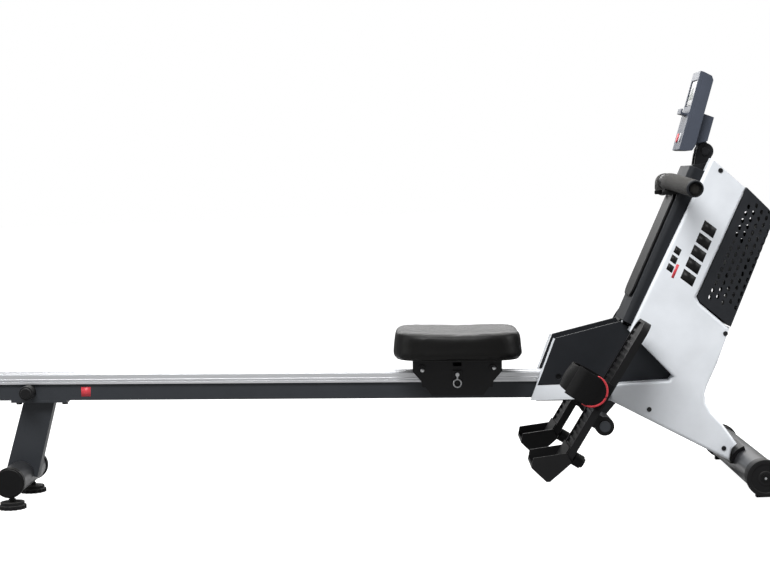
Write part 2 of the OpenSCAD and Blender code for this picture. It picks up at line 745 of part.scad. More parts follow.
// Webbing arch over the foot, open towards the toe and the heel
strap_mid = 50;
module foot_strap_right() color("#1b1c1e") on_pedal()
    translate([strap_mid - foot_strap_w / 2, 0, 0]) rotate([90, 0, 90])
        linear_extrude(height = foot_strap_w) {
            top = plate_back + plate_t + arch_h;
            difference() {
                union() {
                    translate([-half_p - 5, plate_back + 2])
                        square([plate_w + 10, top - 34 - plate_back - 2]);
                    for (s = [-1, 1]) translate([s * (half_p + 5 - 32), top - 32])
                        circle(r = 32);
                    translate([-half_p + 27, top - 32]) square([plate_w - 54, 32]);
                }
                translate([-half_p - 1, plate_back - 5])
                    square([plate_w + 2, top - 29 - plate_back]);
                for (s = [-1, 1]) translate([s * (half_p + 1 - 28), top - 32])
                    circle(r = 28);
                translate([-half_p + 27, top - 34]) square([plate_w - 54, 30]);
            }
        }
module foot_strap_left() mirror([0, 1, 0]) foot_strap_right();

// ---- handle --------------------------------------------------------------------

function between(a, b, f) = a + (b - a) * f;

// A round rod from point a to point b
module rod(a, b, r) {
    d = b - a;
    translate(a) rotate([0, acos(d[2] / norm(d)), atan2(d[1], d[0])])
        cylinder(r = r, h = norm(d));
}

module handle_bar() color("#303134") {
    bar_y(grip_a[0], grip_a[2], bar_r, -grip_a[1], grip_a[1]);
    both_sides() rod(between(grip_a, grip_b, -0.02), between(grip_a, grip_b, 0.97), bar_r);
}

// Foam over the whole bar beside the clip, closed by its end plugs
module handle_grips() color("#3c3d36") both_sides() {
    difference() {
        rod(between(grip_a, grip_b, 0.03), between(grip_a, grip_b, 1.035), grip_r);
        rod(between(grip_a, grip_b, -0.1), between(grip_a, grip_b, 0.97), bar_r + 0.1);
    }
    difference() {
        bar_y(grip_a[0], grip_a[2], grip_r, 24, grip_a[1] + 1);
        bar_y(grip_a[0], grip_a[2], bar_r + 0.1, 0, grip_a[1] + 10);
    }
}

module strap_clip() color("#1a1a1c") {
    difference() {
        union() {
            bar_y(grip_a[0], grip_a[2], bar_r + 3, -strap_w / 2, strap_w / 2);
            translate([grip_a[0] - 8, -strap_w / 2, grip_a[2] - 24]) cube([7, strap_w, 18]);
        }
        bar_y(grip_a[0], grip_a[2], bar_r, -strap_w, strap_w);
    }
}

// Short run of webbing from the top of the guide roller to the clip
strap_t = 1.6;
strap_end = nose_x + guide_x * cos(mast_lean) + slot_z * sin(mast_lean);
strap_z = nose_z - guide_x * sin(mast_lean) + slot_z * cos(mast_lean) + guide_r + 0.3;
module pull_strap() color("#2e2f2c")
    translate([grip_a[0] + bar_r + 3.2, -strap_w / 2, strap_z])
        cube([strap_end - grip_a[0] - bar_r - 3.2, strap_w, strap_t]);

// ---- console -------------------------------------------------------------------

module console_clevis() color("#303238") {
    both_sides() difference() {
        union() {
            bar_y(tilt_x, tilt_z, 17.5, 13, 19);
            slab(13, 19) polygon([[tilt_x - 17.5, tilt_z], [tilt_x + 17.5, tilt_z],
                [tilt_x + 6, 661], [tilt_x - 24, 660], [tilt_x - 20, 684]]);
        }
        bar_y(tilt_x, tilt_z, 5, 0, 30);
    }
    bar_y(tilt_x, tilt_z, 5, -20, 20);
    both_sides() bar_y(tilt_x, tilt_z, 8, 19, 23);
    difference() {
        slab(-30, 30) polygon([[582, 662], [624, 667], [624, 650], [590, 645], [578, 652]]);
        on_mast() translate([nose_back - 80, -22, -90]) cube([120, 44, nose_len + 82]);
        on_mast() translate([-30, -80, 0]) cube([nose_back + 31, 160, nose_len + 0.3]);
    }
}

disp_front = -57.5;
disp_back = -27;
module console_back() color("#3d424b") on_console() difference() {
    union() {
        slab(-console_w / 2, console_w / 2) polygon([[disp_front + 7, -12],
            [disp_back - 4, -7], [disp_back, 3], [disp_back, console_h - 24],
            [disp_back - 5, console_h - 16], [disp_front + 7, console_h - 12]]);
        slab(-30, 30) polygon([[disp_back, 9], [-2.5, 21], [-2.5, 72], [disp_back, 74]]);
        bar_y(0, 0, 16, -12.6, 12.6);
        slab(-12.6, 12.6) polygon([[-15, 4], [16, 0], [-3, 22], [-20, 14]]);
    }
    bar_y(0, 0, 5 + run, -40, 40);
}

// Bezel with the display window, two key holes and a ledge for a phone
key_z = 14;
module console_front() color("#4c5058") on_console() difference() {
    union() {
        translate([disp_front, -console_w / 2, -12]) cube([7, console_w, console_h]);
        translate([disp_front - 13, -24, 62]) cube([13, 48, 4]);
        translate([disp_front - 14, -24, 62]) cube([3, 48, 11]);
    }
    translate([disp_front - 1, -console_w / 2 + 10, 82]) cube([5, console_w - 20, 56]);
    for (s = [-1, 1]) translate([disp_front - 1, s * 18, key_z]) rotate([0, 90, 0])
        cylinder(r = 10.3, h = 10);
}

module console_screen() color("#10141a") on_console()
    translate([disp_front + 1.4, -console_w / 2 + 10.2, 82.2])
        cube([2.4, console_w - 20.4, 55.6]);

module key(s) on_console() translate([disp_front - 2, s * 18, key_z]) rotate([0, 90, 0])
    cylinder(r = 10, h = 6.4);
module mode_button() color("#8d9096") key(-1);
module start_button() color("#b33a44") key(1);

// ---- show ------------------------------------------------------------------------

module stand() { translate([-x_mid, 0, 0]) children(); }

stand() base_beam();
stand() mast_tube();
stand() rail_bracket();
stand() front_foot_tube();
stand() front_foot_caps();
stand() casing_right();
stand() casing_left();
stand() inset_right();
stand() inset_left();
stand() grille_right();
stand() grille_left();
stand() nose_cover();
stand() strap_cover();
stand() casing_screws();
stand() saddle_trim();
stand() flywheel_axle();
stand() flywheel();
stand() strap_drum();
stand() drive_belt();
stand() magnet_arm();
stand() recoil_spring();
stand() guide_roller();
stand() pedal_axle();
stand() fold_pin();
stand() fold_lock();
stand() transport_wheel_right();
stand() transport_wheel_left();
stand() console_clevis();
stand() console_back();
stand() console_front();
stand() console_screen();
stand() mode_button();
stand() start_button();
stand() handle_bar();
stand() handle_grips();
stand() strap_clip();
stand() pull_strap();
stand() rail_track();
stand() rail_body();
stand() rail_end_cap();
stand() rear_leg();
stand() rear_leg_bolts();
stand() rear_foot_tube();
stand() rear_foot_caps();
stand() stop_buffers();
stand() leveller_right();
stand() leveller_left();
stand() seat_pad();
stand() carriage();
stand() rollers_front();
stand() rollers_rear();
stand() lock_pin();
stand() footplate_right();
stand() footplate_left();
stand() heel_cup_right();
stand() heel_cup_left();
stand() heel_knob_right();
stand() heel_knob_left();
stand() foot_strap_right();
stand() foot_strap_left();
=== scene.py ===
# %% [markdown]
# # A folding rowing machine, dressed piece by piece
#
# The engineering model is already there: solids with the right sizes, joints and names.
# This lesson gives each of them the surface of the real thing. Hard parts keep their solid
# and get rounded edges and a moulded, painted or drawn finish. Soft parts, such as the
# seat, the foam grips and the foot straps, are made anew.
#
# We start by loading the model. Every object sits at the origin with its place in its
# mesh, so we only ever ask where a solid is and build there.

# %% Load the model
import json
import math

import bmesh
import bpy
import numpy as np
from mathutils import Matrix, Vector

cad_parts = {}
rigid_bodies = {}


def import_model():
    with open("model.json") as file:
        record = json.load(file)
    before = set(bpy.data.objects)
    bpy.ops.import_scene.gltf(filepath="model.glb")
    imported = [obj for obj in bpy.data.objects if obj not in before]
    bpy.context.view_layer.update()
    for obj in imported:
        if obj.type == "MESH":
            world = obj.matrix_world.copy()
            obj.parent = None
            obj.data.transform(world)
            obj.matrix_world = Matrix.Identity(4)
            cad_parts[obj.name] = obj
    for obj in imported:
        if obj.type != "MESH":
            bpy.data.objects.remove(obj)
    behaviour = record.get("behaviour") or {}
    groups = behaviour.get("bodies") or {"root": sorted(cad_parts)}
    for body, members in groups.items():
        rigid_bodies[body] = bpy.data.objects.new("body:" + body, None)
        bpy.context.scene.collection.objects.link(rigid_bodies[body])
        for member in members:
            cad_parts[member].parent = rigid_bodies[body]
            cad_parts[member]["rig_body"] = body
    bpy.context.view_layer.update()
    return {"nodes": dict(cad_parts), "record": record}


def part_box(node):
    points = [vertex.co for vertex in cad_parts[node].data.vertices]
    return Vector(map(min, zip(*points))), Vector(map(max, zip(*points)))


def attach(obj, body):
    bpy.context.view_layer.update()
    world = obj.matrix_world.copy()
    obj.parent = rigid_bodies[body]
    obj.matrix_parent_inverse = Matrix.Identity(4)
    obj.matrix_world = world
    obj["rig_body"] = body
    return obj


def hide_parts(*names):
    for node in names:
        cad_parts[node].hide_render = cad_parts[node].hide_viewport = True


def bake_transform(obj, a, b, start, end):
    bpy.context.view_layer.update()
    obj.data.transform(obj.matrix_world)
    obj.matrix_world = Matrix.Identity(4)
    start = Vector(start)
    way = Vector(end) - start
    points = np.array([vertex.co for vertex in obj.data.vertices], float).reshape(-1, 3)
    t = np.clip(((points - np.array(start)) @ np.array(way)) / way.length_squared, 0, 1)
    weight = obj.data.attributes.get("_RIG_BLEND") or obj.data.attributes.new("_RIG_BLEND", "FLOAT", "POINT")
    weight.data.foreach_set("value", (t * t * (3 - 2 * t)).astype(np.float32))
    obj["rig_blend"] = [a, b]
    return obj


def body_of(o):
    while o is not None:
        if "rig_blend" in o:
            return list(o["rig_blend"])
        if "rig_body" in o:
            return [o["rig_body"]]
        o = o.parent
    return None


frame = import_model()
nodes = frame["nodes"]

# %% Names for the joints and finishes that the record holds
joints = {joint["name"]: joint for joint in frame["record"]["behaviour"]["joints"]}
slot_of = {part["node"]: part["material_slot"] for part in frame["record"]["subparts"]}
rail_along = np.array(joints["seat_slide"]["axis"])
rail_up = np.array([-rail_along[2], 0.0, rail_along[0]])
pin = np.array(joints["rail_fold"]["pos_m"])
plate_along = np.array(joints["heel_right_slide"]["axis"])
plate_up = -np.array(joints["heel_pin_right_pull"]["axis"])
render_levels = 1
print("rail points along", rail_along, "foot plates along", plate_along)

# %% [markdown]
# ## The camera and the light
#
# The machine is seen from its right side, a little from above, with a long lens. A camera
# could be aimed with a tracking constraint, but three small turns written as one matrix
# say exactly where it looks, and nothing is left to update later.

# %% Camera
camera_turns = (-0.0173, 0.0611, 0.0355)     # yaw, pitch and roll in radians
camera_place = (0.0888, -3.735, 0.6533)
camera_lens = 82.7


def turned_axes(yaw, pitch, roll):
    """Right, forward and up of a camera that first looks along +Y.

    They are the rows of roll times pitch times yaw.
    """
    cy, sy = math.cos(yaw), math.sin(yaw)
    cp, sp = math.cos(pitch), math.sin(pitch)
    cr, sr = math.cos(roll), math.sin(roll)
    turn = np.array([[cy, -sy, 0], [sy, cy, 0], [0, 0, 1]])
    nod = np.array([[1, 0, 0], [0, cp, -sp], [0, sp, cp]])
    bank = np.array([[cr, 0, -sr], [0, 1, 0], [sr, 0, cr]])
    return bank @ nod @ turn


camera_data = bpy.data.cameras.new("studio_camera")
camera_data.sensor_width = 36.0
camera_data.lens = camera_lens
camera = bpy.data.objects.new("studio_camera", camera_data)
bpy.context.scene.collection.objects.link(camera)
right, forward, up = turned_axes(*camera_turns)
placing = np.eye(4)
placing[:3, 0], placing[:3, 1], placing[:3, 2] = right, up, -forward
placing[:3, 3] = camera_place
camera.matrix_world = Matrix(placing.tolist())
bpy.context.scene.camera = camera
print("camera looks along", np.round(forward, 3))

# %% [markdown]
# Studio light comes from large soft boxes. One hangs over the machine, one stands high in
# front, and weaker ones stand at each end and behind, so that rounded edges catch a bright
# line while black plastic facing us stays deep. The world adds a low even fill.

# %% Soft boxes, world and floor
def soft_box(name, place, target, size, power):
    """An area light at place, with its own -Z turned along the line to the target."""
    data = bpy.data.lights.new(name, "AREA")
    data.shape = "RECTANGLE"
    data.size, data.size_y = size
    data.energy = power
    lamp = bpy.data.objects.new(name, data)
    bpy.context.scene.collection.objects.link(lamp)
    away = np.array(place, float) - np.array(target, float)
    away /= np.linalg.norm(away)
    side = np.cross([0.0, 0.0, 1.0], away) if abs(away[2]) < 0.98 else np.array([1.0, 0, 0])
    side /= np.linalg.norm(side)
    aim = np.eye(4)
    aim[:3, 0], aim[:3, 1], aim[:3, 2], aim[:3, 3] = side, np.cross(away, side), away, place
    lamp.matrix_world = Matrix(aim.tolist())
    return lamp


middle = (0.1, 0.0, 0.35)
soft_box("box_above", (0.1, 0.7, 2.9), middle, (3.6, 1.4), 92)
soft_box("box_front", (-0.6, -2.2, 3.2), middle, (2.4, 1.2), 160)
soft_box("box_left", (-3.0, -0.4, 1.5), middle, (1.2, 1.6), 20)
soft_box("box_right", (3.0, -0.2, 1.4), middle, (1.2, 1.8), 48)
soft_box("box_behind", (0.3, 3.0, 1.8), middle, (3.2, 1.4), 50)

world = bpy.data.worlds.new("studio")
bpy.context.scene.world = world
world.use_nodes = True
sky = world.node_tree
fill = sky.nodes["Background"]
seen = sky.nodes.new("ShaderNodeLightPath")
mixer = sky.nodes.new("ShaderNodeMix")
mixer.inputs["A"].default_value = 0.24
mixer.inputs["B"].default_value = 1.0
sky.links.new(seen.outputs["Is Camera Ray"], mixer.inputs["Factor"])
sky.links.new(mixer.outputs["Result"], fill.inputs["Strength"])
fill.inputs["Color"].default_value = (1, 1, 1, 1)
bpy.context.scene.view_settings.view_transform = "Standard"

floor_half, floor_z = 30.0, -0.0005
floor_mesh = bpy.data.meshes.new("studio_floor")
floor_mesh.from_pydata([(x * floor_half, y * floor_half, floor_z)
                        for x, y in ((-1, -1), (1, -1), (1, 1), (-1, 1))],
                       [], [(0, 1, 2, 3)])
studio_floor = bpy.data.objects.new("studio_floor", floor_mesh)
bpy.context.scene.collection.objects.link(studio_floor)
print("lights and floor ready")

# %% [markdown]
# ## Effects that many finishes share
#
# Moulded plastic, paint and rubber differ in colour, but they share a fine grain, a little
# dust on what faces up and a painted highlight along sharp edges. Each effect is a node
# group with named inputs, made once and placed in every material with its own values.

# %% A helper that opens a node group
def new_group(name, inputs, outputs):
    """A shader group with one float or vector socket for each name, and its two end nodes."""
    tree = bpy.data.node_groups.new(name, "ShaderNodeTree")
    for label, kind, value in inputs:
        socket = tree.interface.new_socket(label, in_out="INPUT", socket_type=kind)
        if value is not None:
            socket.default_value = value
    for label, kind in outputs:
        tree.interface.new_socket(label, in_out="OUTPUT", socket_type=kind)
    return tree, tree.nodes.new("NodeGroupInput"), tree.nodes.new("NodeGroupOutput")


def maths(tree, operation, first, second=None, clamp=False):
    """One Math node; each input is a socket or a plain number."""
    node = tree.nodes.new("ShaderNodeMath")
    node.operation = operation
    node.use_clamp = clamp
    for socket, value in zip(node.inputs, (first, second)):
        if value is None:
            continue
        if isinstance(value, (int, float)):
            socket.default_value = value
        else:
            tree.links.new(value, socket)
    return node.outputs["Value"]


FLOAT, VECTOR = "NodeSocketFloat", "NodeSocketVector"

# %% Grain: a fine bump and a broad, faint mottle
grain, inlet, outlet = new_group("grain", [("Vector", VECTOR, None), ("Size", FLOAT, 900.0)],
                                 [("Height", FLOAT), ("Mottle", FLOAT)])
fine = grain.nodes.new("ShaderNodeTexNoise")
fine.inputs["Detail"].default_value = 3.0
grain.links.new(inlet.outputs["Vector"], fine.inputs["Vector"])
grain.links.new(inlet.outputs["Size"], fine.inputs["Scale"])
broad = grain.nodes.new("ShaderNodeTexNoise")
broad.inputs["Scale"].default_value = 14.0
broad.inputs["Detail"].default_value = 5.0
grain.links.new(inlet.outputs["Vector"], broad.inputs["Vector"])
grain.links.new(fine.outputs["Fac"], outlet.inputs["Height"])
grain.links.new(broad.outputs["Fac"], outlet.inputs["Mottle"])

# %% Dust: settles on faces that look up, in soft patches
dust, inlet, outlet = new_group("dust", [("Vector", VECTOR, None), ("Amount", FLOAT, 0.2)],
                                [("Mask", FLOAT)])
facing = dust.nodes.new("ShaderNodeNewGeometry")
split = dust.nodes.new("ShaderNodeSeparateXYZ")
dust.links.new(facing.outputs["Normal"], split.inputs["Vector"])
upward = maths(dust, "POWER", maths(dust, "MAXIMUM", split.outputs["Z"], 0.0), 3.0)
patches = dust.nodes.new("ShaderNodeTexNoise")
patches.inputs["Scale"].default_value = 22.0
patches.inputs["Detail"].default_value = 6.0
dust.links.new(inlet.outputs["Vector"], patches.inputs["Vector"])
patchy = maths(dust, "MULTIPLY", upward, patches.outputs["Fac"])
dust.links.new(maths(dust, "MULTIPLY", patchy, inlet.outputs["Amount"], True),
               outlet.inputs["Mask"])

# %% Painted edge highlight: brighter where the surface turns sharply, broken up by noise
edge_highlight_group, inlet, outlet = new_group("painted_edge_highlight",
                                [("Vector", VECTOR, None), ("Amount", FLOAT, 0.5)],
                                [("Mask", FLOAT)])
facing = edge_highlight_group.nodes.new("ShaderNodeNewGeometry")
sharp = maths(edge_highlight_group, "MULTIPLY", maths(edge_highlight_group, "SUBTRACT", facing.outputs["Pointiness"], 0.53),
              9.0, True)
edge_highlight_node = edge_highlight_group.nodes.new("ShaderNodeTexNoise")
edge_highlight_node.inputs["Scale"].default_value = 60.0
edge_highlight_node.inputs["Detail"].default_value = 4.0
edge_highlight_group.links.new(inlet.outputs["Vector"], edge_highlight_node.inputs["Vector"])
edges = maths(edge_highlight_group, "MULTIPLY", sharp, edge_highlight_node.outputs["Fac"])
edge_highlight_group.links.new(maths(edge_highlight_group, "MULTIPLY", edges, inlet.outputs["Amount"], True),
               outlet.inputs["Mask"])

# %% Weave: two sets of threads that take turns on top
weave, inlet, outlet = new_group("weave", [("Vector", VECTOR, None), ("Pitch", FLOAT, 0.0016)],
                                 [("Height", FLOAT), ("Shade", FLOAT)])
split = weave.nodes.new("ShaderNodeSeparateXYZ")
weave.links.new(inlet.outputs["Vector"], split.inputs["Vector"])
turns = maths(weave, "DIVIDE", 2 * math.pi, inlet.outputs["Pitch"])
warp = maths(weave, "SINE", maths(weave, "MULTIPLY", split.outputs["X"], turns))
weft = maths(weave, "SINE", maths(weave, "MULTIPLY", split.outputs["Y"], turns))
crossing = maths(weave, "MULTIPLY", warp, weft)
weave.links.new(maths(weave, "MULTIPLY_ADD", crossing, 0.5), outlet.inputs["Height"])
weave.links.new(maths(weave, "ABSOLUTE", crossing), outlet.inputs["Shade"])
print("groups:", [tree.name for tree in bpy.data.node_groups])

# %% [markdown]
# ## Finishes
#
# One function makes every hard finish, because they are the same recipe: a colour that
# wanders a little, dust, a painted edge highlight, a roughness that follows the mottle, and a
# bump from the grain. What makes a lacquer, a rubber or a drawn metal is the values, so each
# slot of the record is one short line below.

# %% The recipe for hard surfaces
def mixed(tree, factor, first, second):
    """A colour mix whose factor and colours are sockets or plain values."""
    node = tree.nodes.new("ShaderNodeMix")
    node.data_type = "RGBA"
    for socket, value in zip((node.inputs[0], node.inputs[6], node.inputs[7]),
                             (factor, first, second)):
        if isinstance(value, (int, float)):
            socket.default_value = value
        elif isinstance(value, tuple):
            socket.default_value = (*value, 1.0)
        else:
            tree.links.new(value, socket)
    return node.outputs[2]


def placed(tree, group, vector, **values):
    """A node that holds the group, fed with a vector and plain values."""
    node = tree.nodes.new("ShaderNodeGroup")
    node.node_tree = group
    tree.links.new(vector, node.inputs["Vector"])
    for label, value in values.items():
        node.inputs[label].default_value = value
    return node


finishes = {}


def hard_finish(slot, colour, rough, metal=0.0, coat=0.0, specular=0.5, grain_size=900.0,
                grain_depth=0.00004, dusty=0.12, edge_highlight_amount=0.25, stretch=(1, 1, 1)):
    """A material for one slot: mottled colour, dust and a painted edge highlight on it, and grain as a bump.
    """
    material = bpy.data.materials.new(slot)
    material.use_nodes = True
    tree = material.node_tree
    skin = tree.nodes["Principled BSDF"]
    where = tree.nodes.new("ShaderNodeTexCoord")
    mapping = tree.nodes.new("ShaderNodeMapping")
    mapping.inputs["Scale"].default_value = stretch
    tree.links.new(where.outputs["Object"], mapping.inputs["Vector"])
    vector = mapping.outputs["Vector"]
    moulded = placed(tree, grain, vector, Size=grain_size)
    light = tuple(min(1.0, c * 1.18 + 0.001) for c in colour)
    deep = tuple(c * 0.86 for c in colour)
    base = mixed(tree, moulded.outputs["Mottle"], deep, light)
    settled = placed(tree, dust, where.outputs["Object"], Amount=dusty)
    base = mixed(tree, settled.outputs["Mask"], base, (0.24, 0.23, 0.21))
    # painted highlight: sharp edges are lightened towards a bright copy of the colour, broken up by noise
    edge_highlight_node = placed(tree, edge_highlight_group, where.outputs["Object"], Amount=edge_highlight_amount)
    bright = tuple(min(1.0, c * 1.9 + 0.03) for c in colour)
    base = mixed(tree, edge_highlight_node.outputs["Mask"], base, bright)
    tree.links.new(base, skin.inputs["Base Color"])
    shine = maths(tree, "MULTIPLY_ADD", moulded.outputs["Mottle"], 0.16)
    shine.node.inputs[2].default_value = rough - 0.08
    tree.links.new(shine, skin.inputs["Roughness"])
    skin.inputs["Metallic"].default_value = metal
    skin.inputs["Coat Weight"].default_value = coat
    skin.inputs["Coat Roughness"].default_value = 0.12
    skin.inputs["Specular IOR Level"].default_value = specular
    bump = tree.nodes.new("ShaderNodeBump")
    bump.inputs["Strength"].default_value = 0.6
    bump.inputs["Distance"].default_value = grain_depth
    tree.links.new(moulded.outputs["Height"], bump.inputs["Height"])
    tree.links.new(bump.outputs["Normal"], skin.inputs["Normal"])
    finishes[slot] = material
    return material


# %% Plastics
hard_finish("silver_plastic", (0.73, 0.76, 0.80), 0.36, coat=0.25, grain_size=1500,
            grain_depth=0.00002, dusty=0.05, edge_highlight_amount=0.1)
hard_finish("dark_plastic", (0.014, 0.0155, 0.0185), 0.50, specular=0.16, grain_size=1100)
hard_finish("cover_plastic", (0.0055, 0.0055, 0.0060), 0.44, specular=0.2, grain_size=1100)
hard_finish("black_plastic", (0.0030, 0.0030, 0.0034), 0.42, specular=0.18, grain_size=1000)
hard_finish("console_plastic", (0.055, 0.064, 0.086), 0.42, specular=0.3, grain_size=1300)
hard_finish("drive_plastic", (0.06, 0.06, 0.065), 0.5)
hard_finish("roller_nylon", (0.60, 0.60, 0.57), 0.45, edge_highlight_amount=0.0)
hard_finish("key_grey", (0.30, 0.31, 0.33), 0.38)
hard_finish("key_red", (0.52, 0.035, 0.05), 0.36)

# %% Paints and metals
hard_finish("frame_paint", (0.010, 0.0105, 0.012), 0.38, specular=0.24, grain_size=700,
            grain_depth=0.00008)
hard_finish("leg_paint", (0.028, 0.031, 0.036), 0.38, specular=0.26, grain_size=700,
            grain_depth=0.00008)
hard_finish("carriage_paint", (0.0065, 0.0065, 0.0075), 0.38, specular=0.28, grain_size=700,
            grain_depth=0.00008)
hard_finish("foot_tube", (0.036, 0.037, 0.041), 0.32, metal=0.5, coat=0.3, grain_size=2500)
hard_finish("track_aluminium", (0.68, 0.69, 0.71), 0.34, metal=0.75, dusty=0.04, edge_highlight_amount=0.0,
            grain_size=260, grain_depth=0.00003, stretch=(0.03, 1, 1))
hard_finish("zinc", (0.55, 0.56, 0.57), 0.3, metal=1.0, grain_size=500)
hard_finish("flywheel_steel", (0.42, 0.43, 0.44), 0.32, metal=1.0, grain_size=600)
hard_finish("screw_black", (0.012, 0.012, 0.013), 0.34, metal=0.3, grain_size=900)
hard_finish("handle_steel", (0.03, 0.031, 0.034), 0.32, metal=0.4)

# %% Rubbers
hard_finish("wheel_rubber", (0.0050, 0.0050, 0.0055), 0.55, specular=0.22, grain_size=600,
            grain_depth=0.0001, dusty=0.25, edge_highlight_amount=0.4)
hard_finish("belt_rubber", (0.012, 0.012, 0.013), 0.65, specular=0.3, grain_size=600)
print("finishes so far:", len(finishes))

# %% [markdown]
# Four finishes need their own recipe: the leather-like seat cover with its pebbled grain,
# the foam of the grips with open pores, woven webbing that follows the strap, and the
# display behind its window. They reuse the same groups with a different bump.

# %% Seat cover, foam and webbing
def soft_finish(slot, colour, rough, build_bump, sheen=0.0, specular=0.4, depth=0.0004):
    """A material with mottle and dust whose bump height comes from build_bump."""
    material = bpy.data.materials.new(slot)
    material.use_nodes = True
    tree = material.node_tree
    skin = tree.nodes["Principled BSDF"]
    where = tree.nodes.new("ShaderNodeTexCoord")
    vector = where.outputs["Object"]
    moulded = placed(tree, grain, vector, Size=500.0)
    base = mixed(tree, moulded.outputs["Mottle"], tuple(c * 0.8 for c in colour),
                 tuple(c * 1.25 + 0.001 for c in colour))
    height, shade = build_bump(tree, where)
    # painted shade: the colour darkens where the bump's shade is high, in the hollows between pebbles and
    # between threads
    base = mixed(tree, maths(tree, "MULTIPLY", shade, 0.35), base,
                 tuple(c * 0.35 for c in colour))
    settled = placed(tree, dust, vector, Amount=0.10)
    base = mixed(tree, settled.outputs["Mask"], base, (0.16, 0.15, 0.135))
    tree.links.new(base, skin.inputs["Base Color"])
    shine = maths(tree, "MULTIPLY_ADD", shade, 0.15)
    shine.node.inputs[2].default_value = rough
    tree.links.new(shine, skin.inputs["Roughness"])
    skin.inputs["Sheen Weight"].default_value = sheen
    skin.inputs["Specular IOR Level"].default_value = specular
    bump = tree.nodes.new("ShaderNodeBump")
    bump.inputs["Strength"].default_value = 0.7
    bump.inputs["Distance"].default_value = depth
    tree.links.new(height, bump.inputs["Height"])
    tree.links.new(bump.outputs["Normal"], skin.inputs["Normal"])
    finishes[slot] = material
    return material


def pebbles(scale):
    """Rounded cells of a Voronoi pattern: low between the pebbles, high in their middles."""
    def build(tree, where):
        cells = tree.nodes.new("ShaderNodeTexVoronoi")
        cells.feature = "DISTANCE_TO_EDGE"
        cells.inputs["Scale"].default_value = scale
        tree.links.new(where.outputs["Object"], cells.inputs["Vector"])
        height = maths(tree, "MULTIPLY", cells.outputs["Distance"], 3.0, True)
        return height, maths(tree, "SUBTRACT", 1.0, height, True)
    return build


def threads(pitch):
    """The weave group on the strip's own map, whose units are metres along and across it."""
    def build(tree, where):
        woven = placed(tree, weave, where.outputs["UV"], Pitch=pitch)
        return woven.outputs["Height"], maths(tree, "SUBTRACT", 1.0, woven.outputs["Shade"])
    return build


soft_finish("vinyl", (0.0022, 0.0021, 0.0019), 0.34, pebbles(620.0), specular=0.2,
            depth=0.00006)
soft_finish("grip_foam", (0.022, 0.0205, 0.018), 0.68, pebbles(1500.0), sheen=0.06,
            specular=0.25, depth=0.0002)
soft_finish("webbing", (0.0025, 0.0025, 0.0028), 0.62, threads(0.0026), sheen=0.02,
            specular=0.12)
soft_finish("piping", (0.56, 0.022, 0.035), 0.5, threads(0.0016), sheen=0.1)
print("soft finishes ready")

# %% Display glass and floor
def clear_window(slot, colour):
    """Dark, smooth display glass with faint, wide smears in its gloss."""
    material = hard_finish(slot, colour, 0.26, coat=0.1, specular=0.3, grain_size=40.0,
                           grain_depth=0.000004, dusty=0.03, edge_highlight_amount=0.0)
    return material


clear_window("screen", (0.010, 0.013, 0.017))
hard_finish("display_glow", (0.09, 0.115, 0.095), 0.35, grain_size=200, dusty=0.0, edge_highlight_amount=0.0)

floor_paint = bpy.data.materials.new("studio_floor")
floor_paint.use_nodes = True
tree = floor_paint.node_tree
floor_skin = tree.nodes["Principled BSDF"]
floor_skin.inputs["Roughness"].default_value = 0.9
floor_skin.inputs["Base Color"].default_value = (0.28, 0.28, 0.28, 1)
floor_skin.inputs["Emission Color"].default_value = (1, 1, 1, 1)
direct = tree.nodes.new("ShaderNodeLightPath")
plain = tree.nodes.new("ShaderNodeEmission")
plain.inputs["Strength"].default_value = 0.97
added = tree.nodes.new("ShaderNodeAddShader")
chosen = tree.nodes.new("ShaderNodeMixShader")
tree.links.new(floor_skin.outputs["BSDF"], added.inputs[0])
tree.links.new(plain.outputs["Emission"], added.inputs[1])
tree.links.new(direct.outputs["Is Camera Ray"], chosen.inputs[0])
tree.links.new(floor_skin.outputs["BSDF"], chosen.inputs[1])
tree.links.new(added.outputs["Shader"], chosen.inputs[2])
tree.links.new(chosen.outputs["Shader"], tree.nodes["Material Output"].inputs["Surface"])
studio_floor.data.materials.append(floor_paint)

# %% Give every solid the finish of its slot
for name, solid in nodes.items():
    solid.data.materials.clear()
    solid.data.materials.append(finishes[slot_of[name]])
print("every solid has a finish")

# %% [markdown]
# ## Hard parts with rounded edges
#
# A solid from the engineering model has knife edges, while a moulded, cast or folded part
# has small radii that catch the light. We could remodel each part, but its shape is right.
# So we merge a copy of its mesh, join its flat triangles into faces, and round what is
# sharp with a Bevel modifier of the width that such a part has.

# %% A copy of a solid with rounded edges
def mark_outer_edges(shell, half_width, shortest=0.0006):
    """Gives full bevel weight to the sharp edges that lie in the outer side face.

    The short edges of screw holes are left out.
    """
    face_slack, steep = 0.0004, 1.0
    weight = shell.edges.layers.float.new("bevel_weight_edge")
    for edge in shell.edges:
        outside = min(abs(end.co.y) for end in edge.verts) > half_width - face_slack
        if outside and edge.calc_length() > shortest and edge.calc_face_angle(0.0) > steep:
            edge[weight] = 1.0


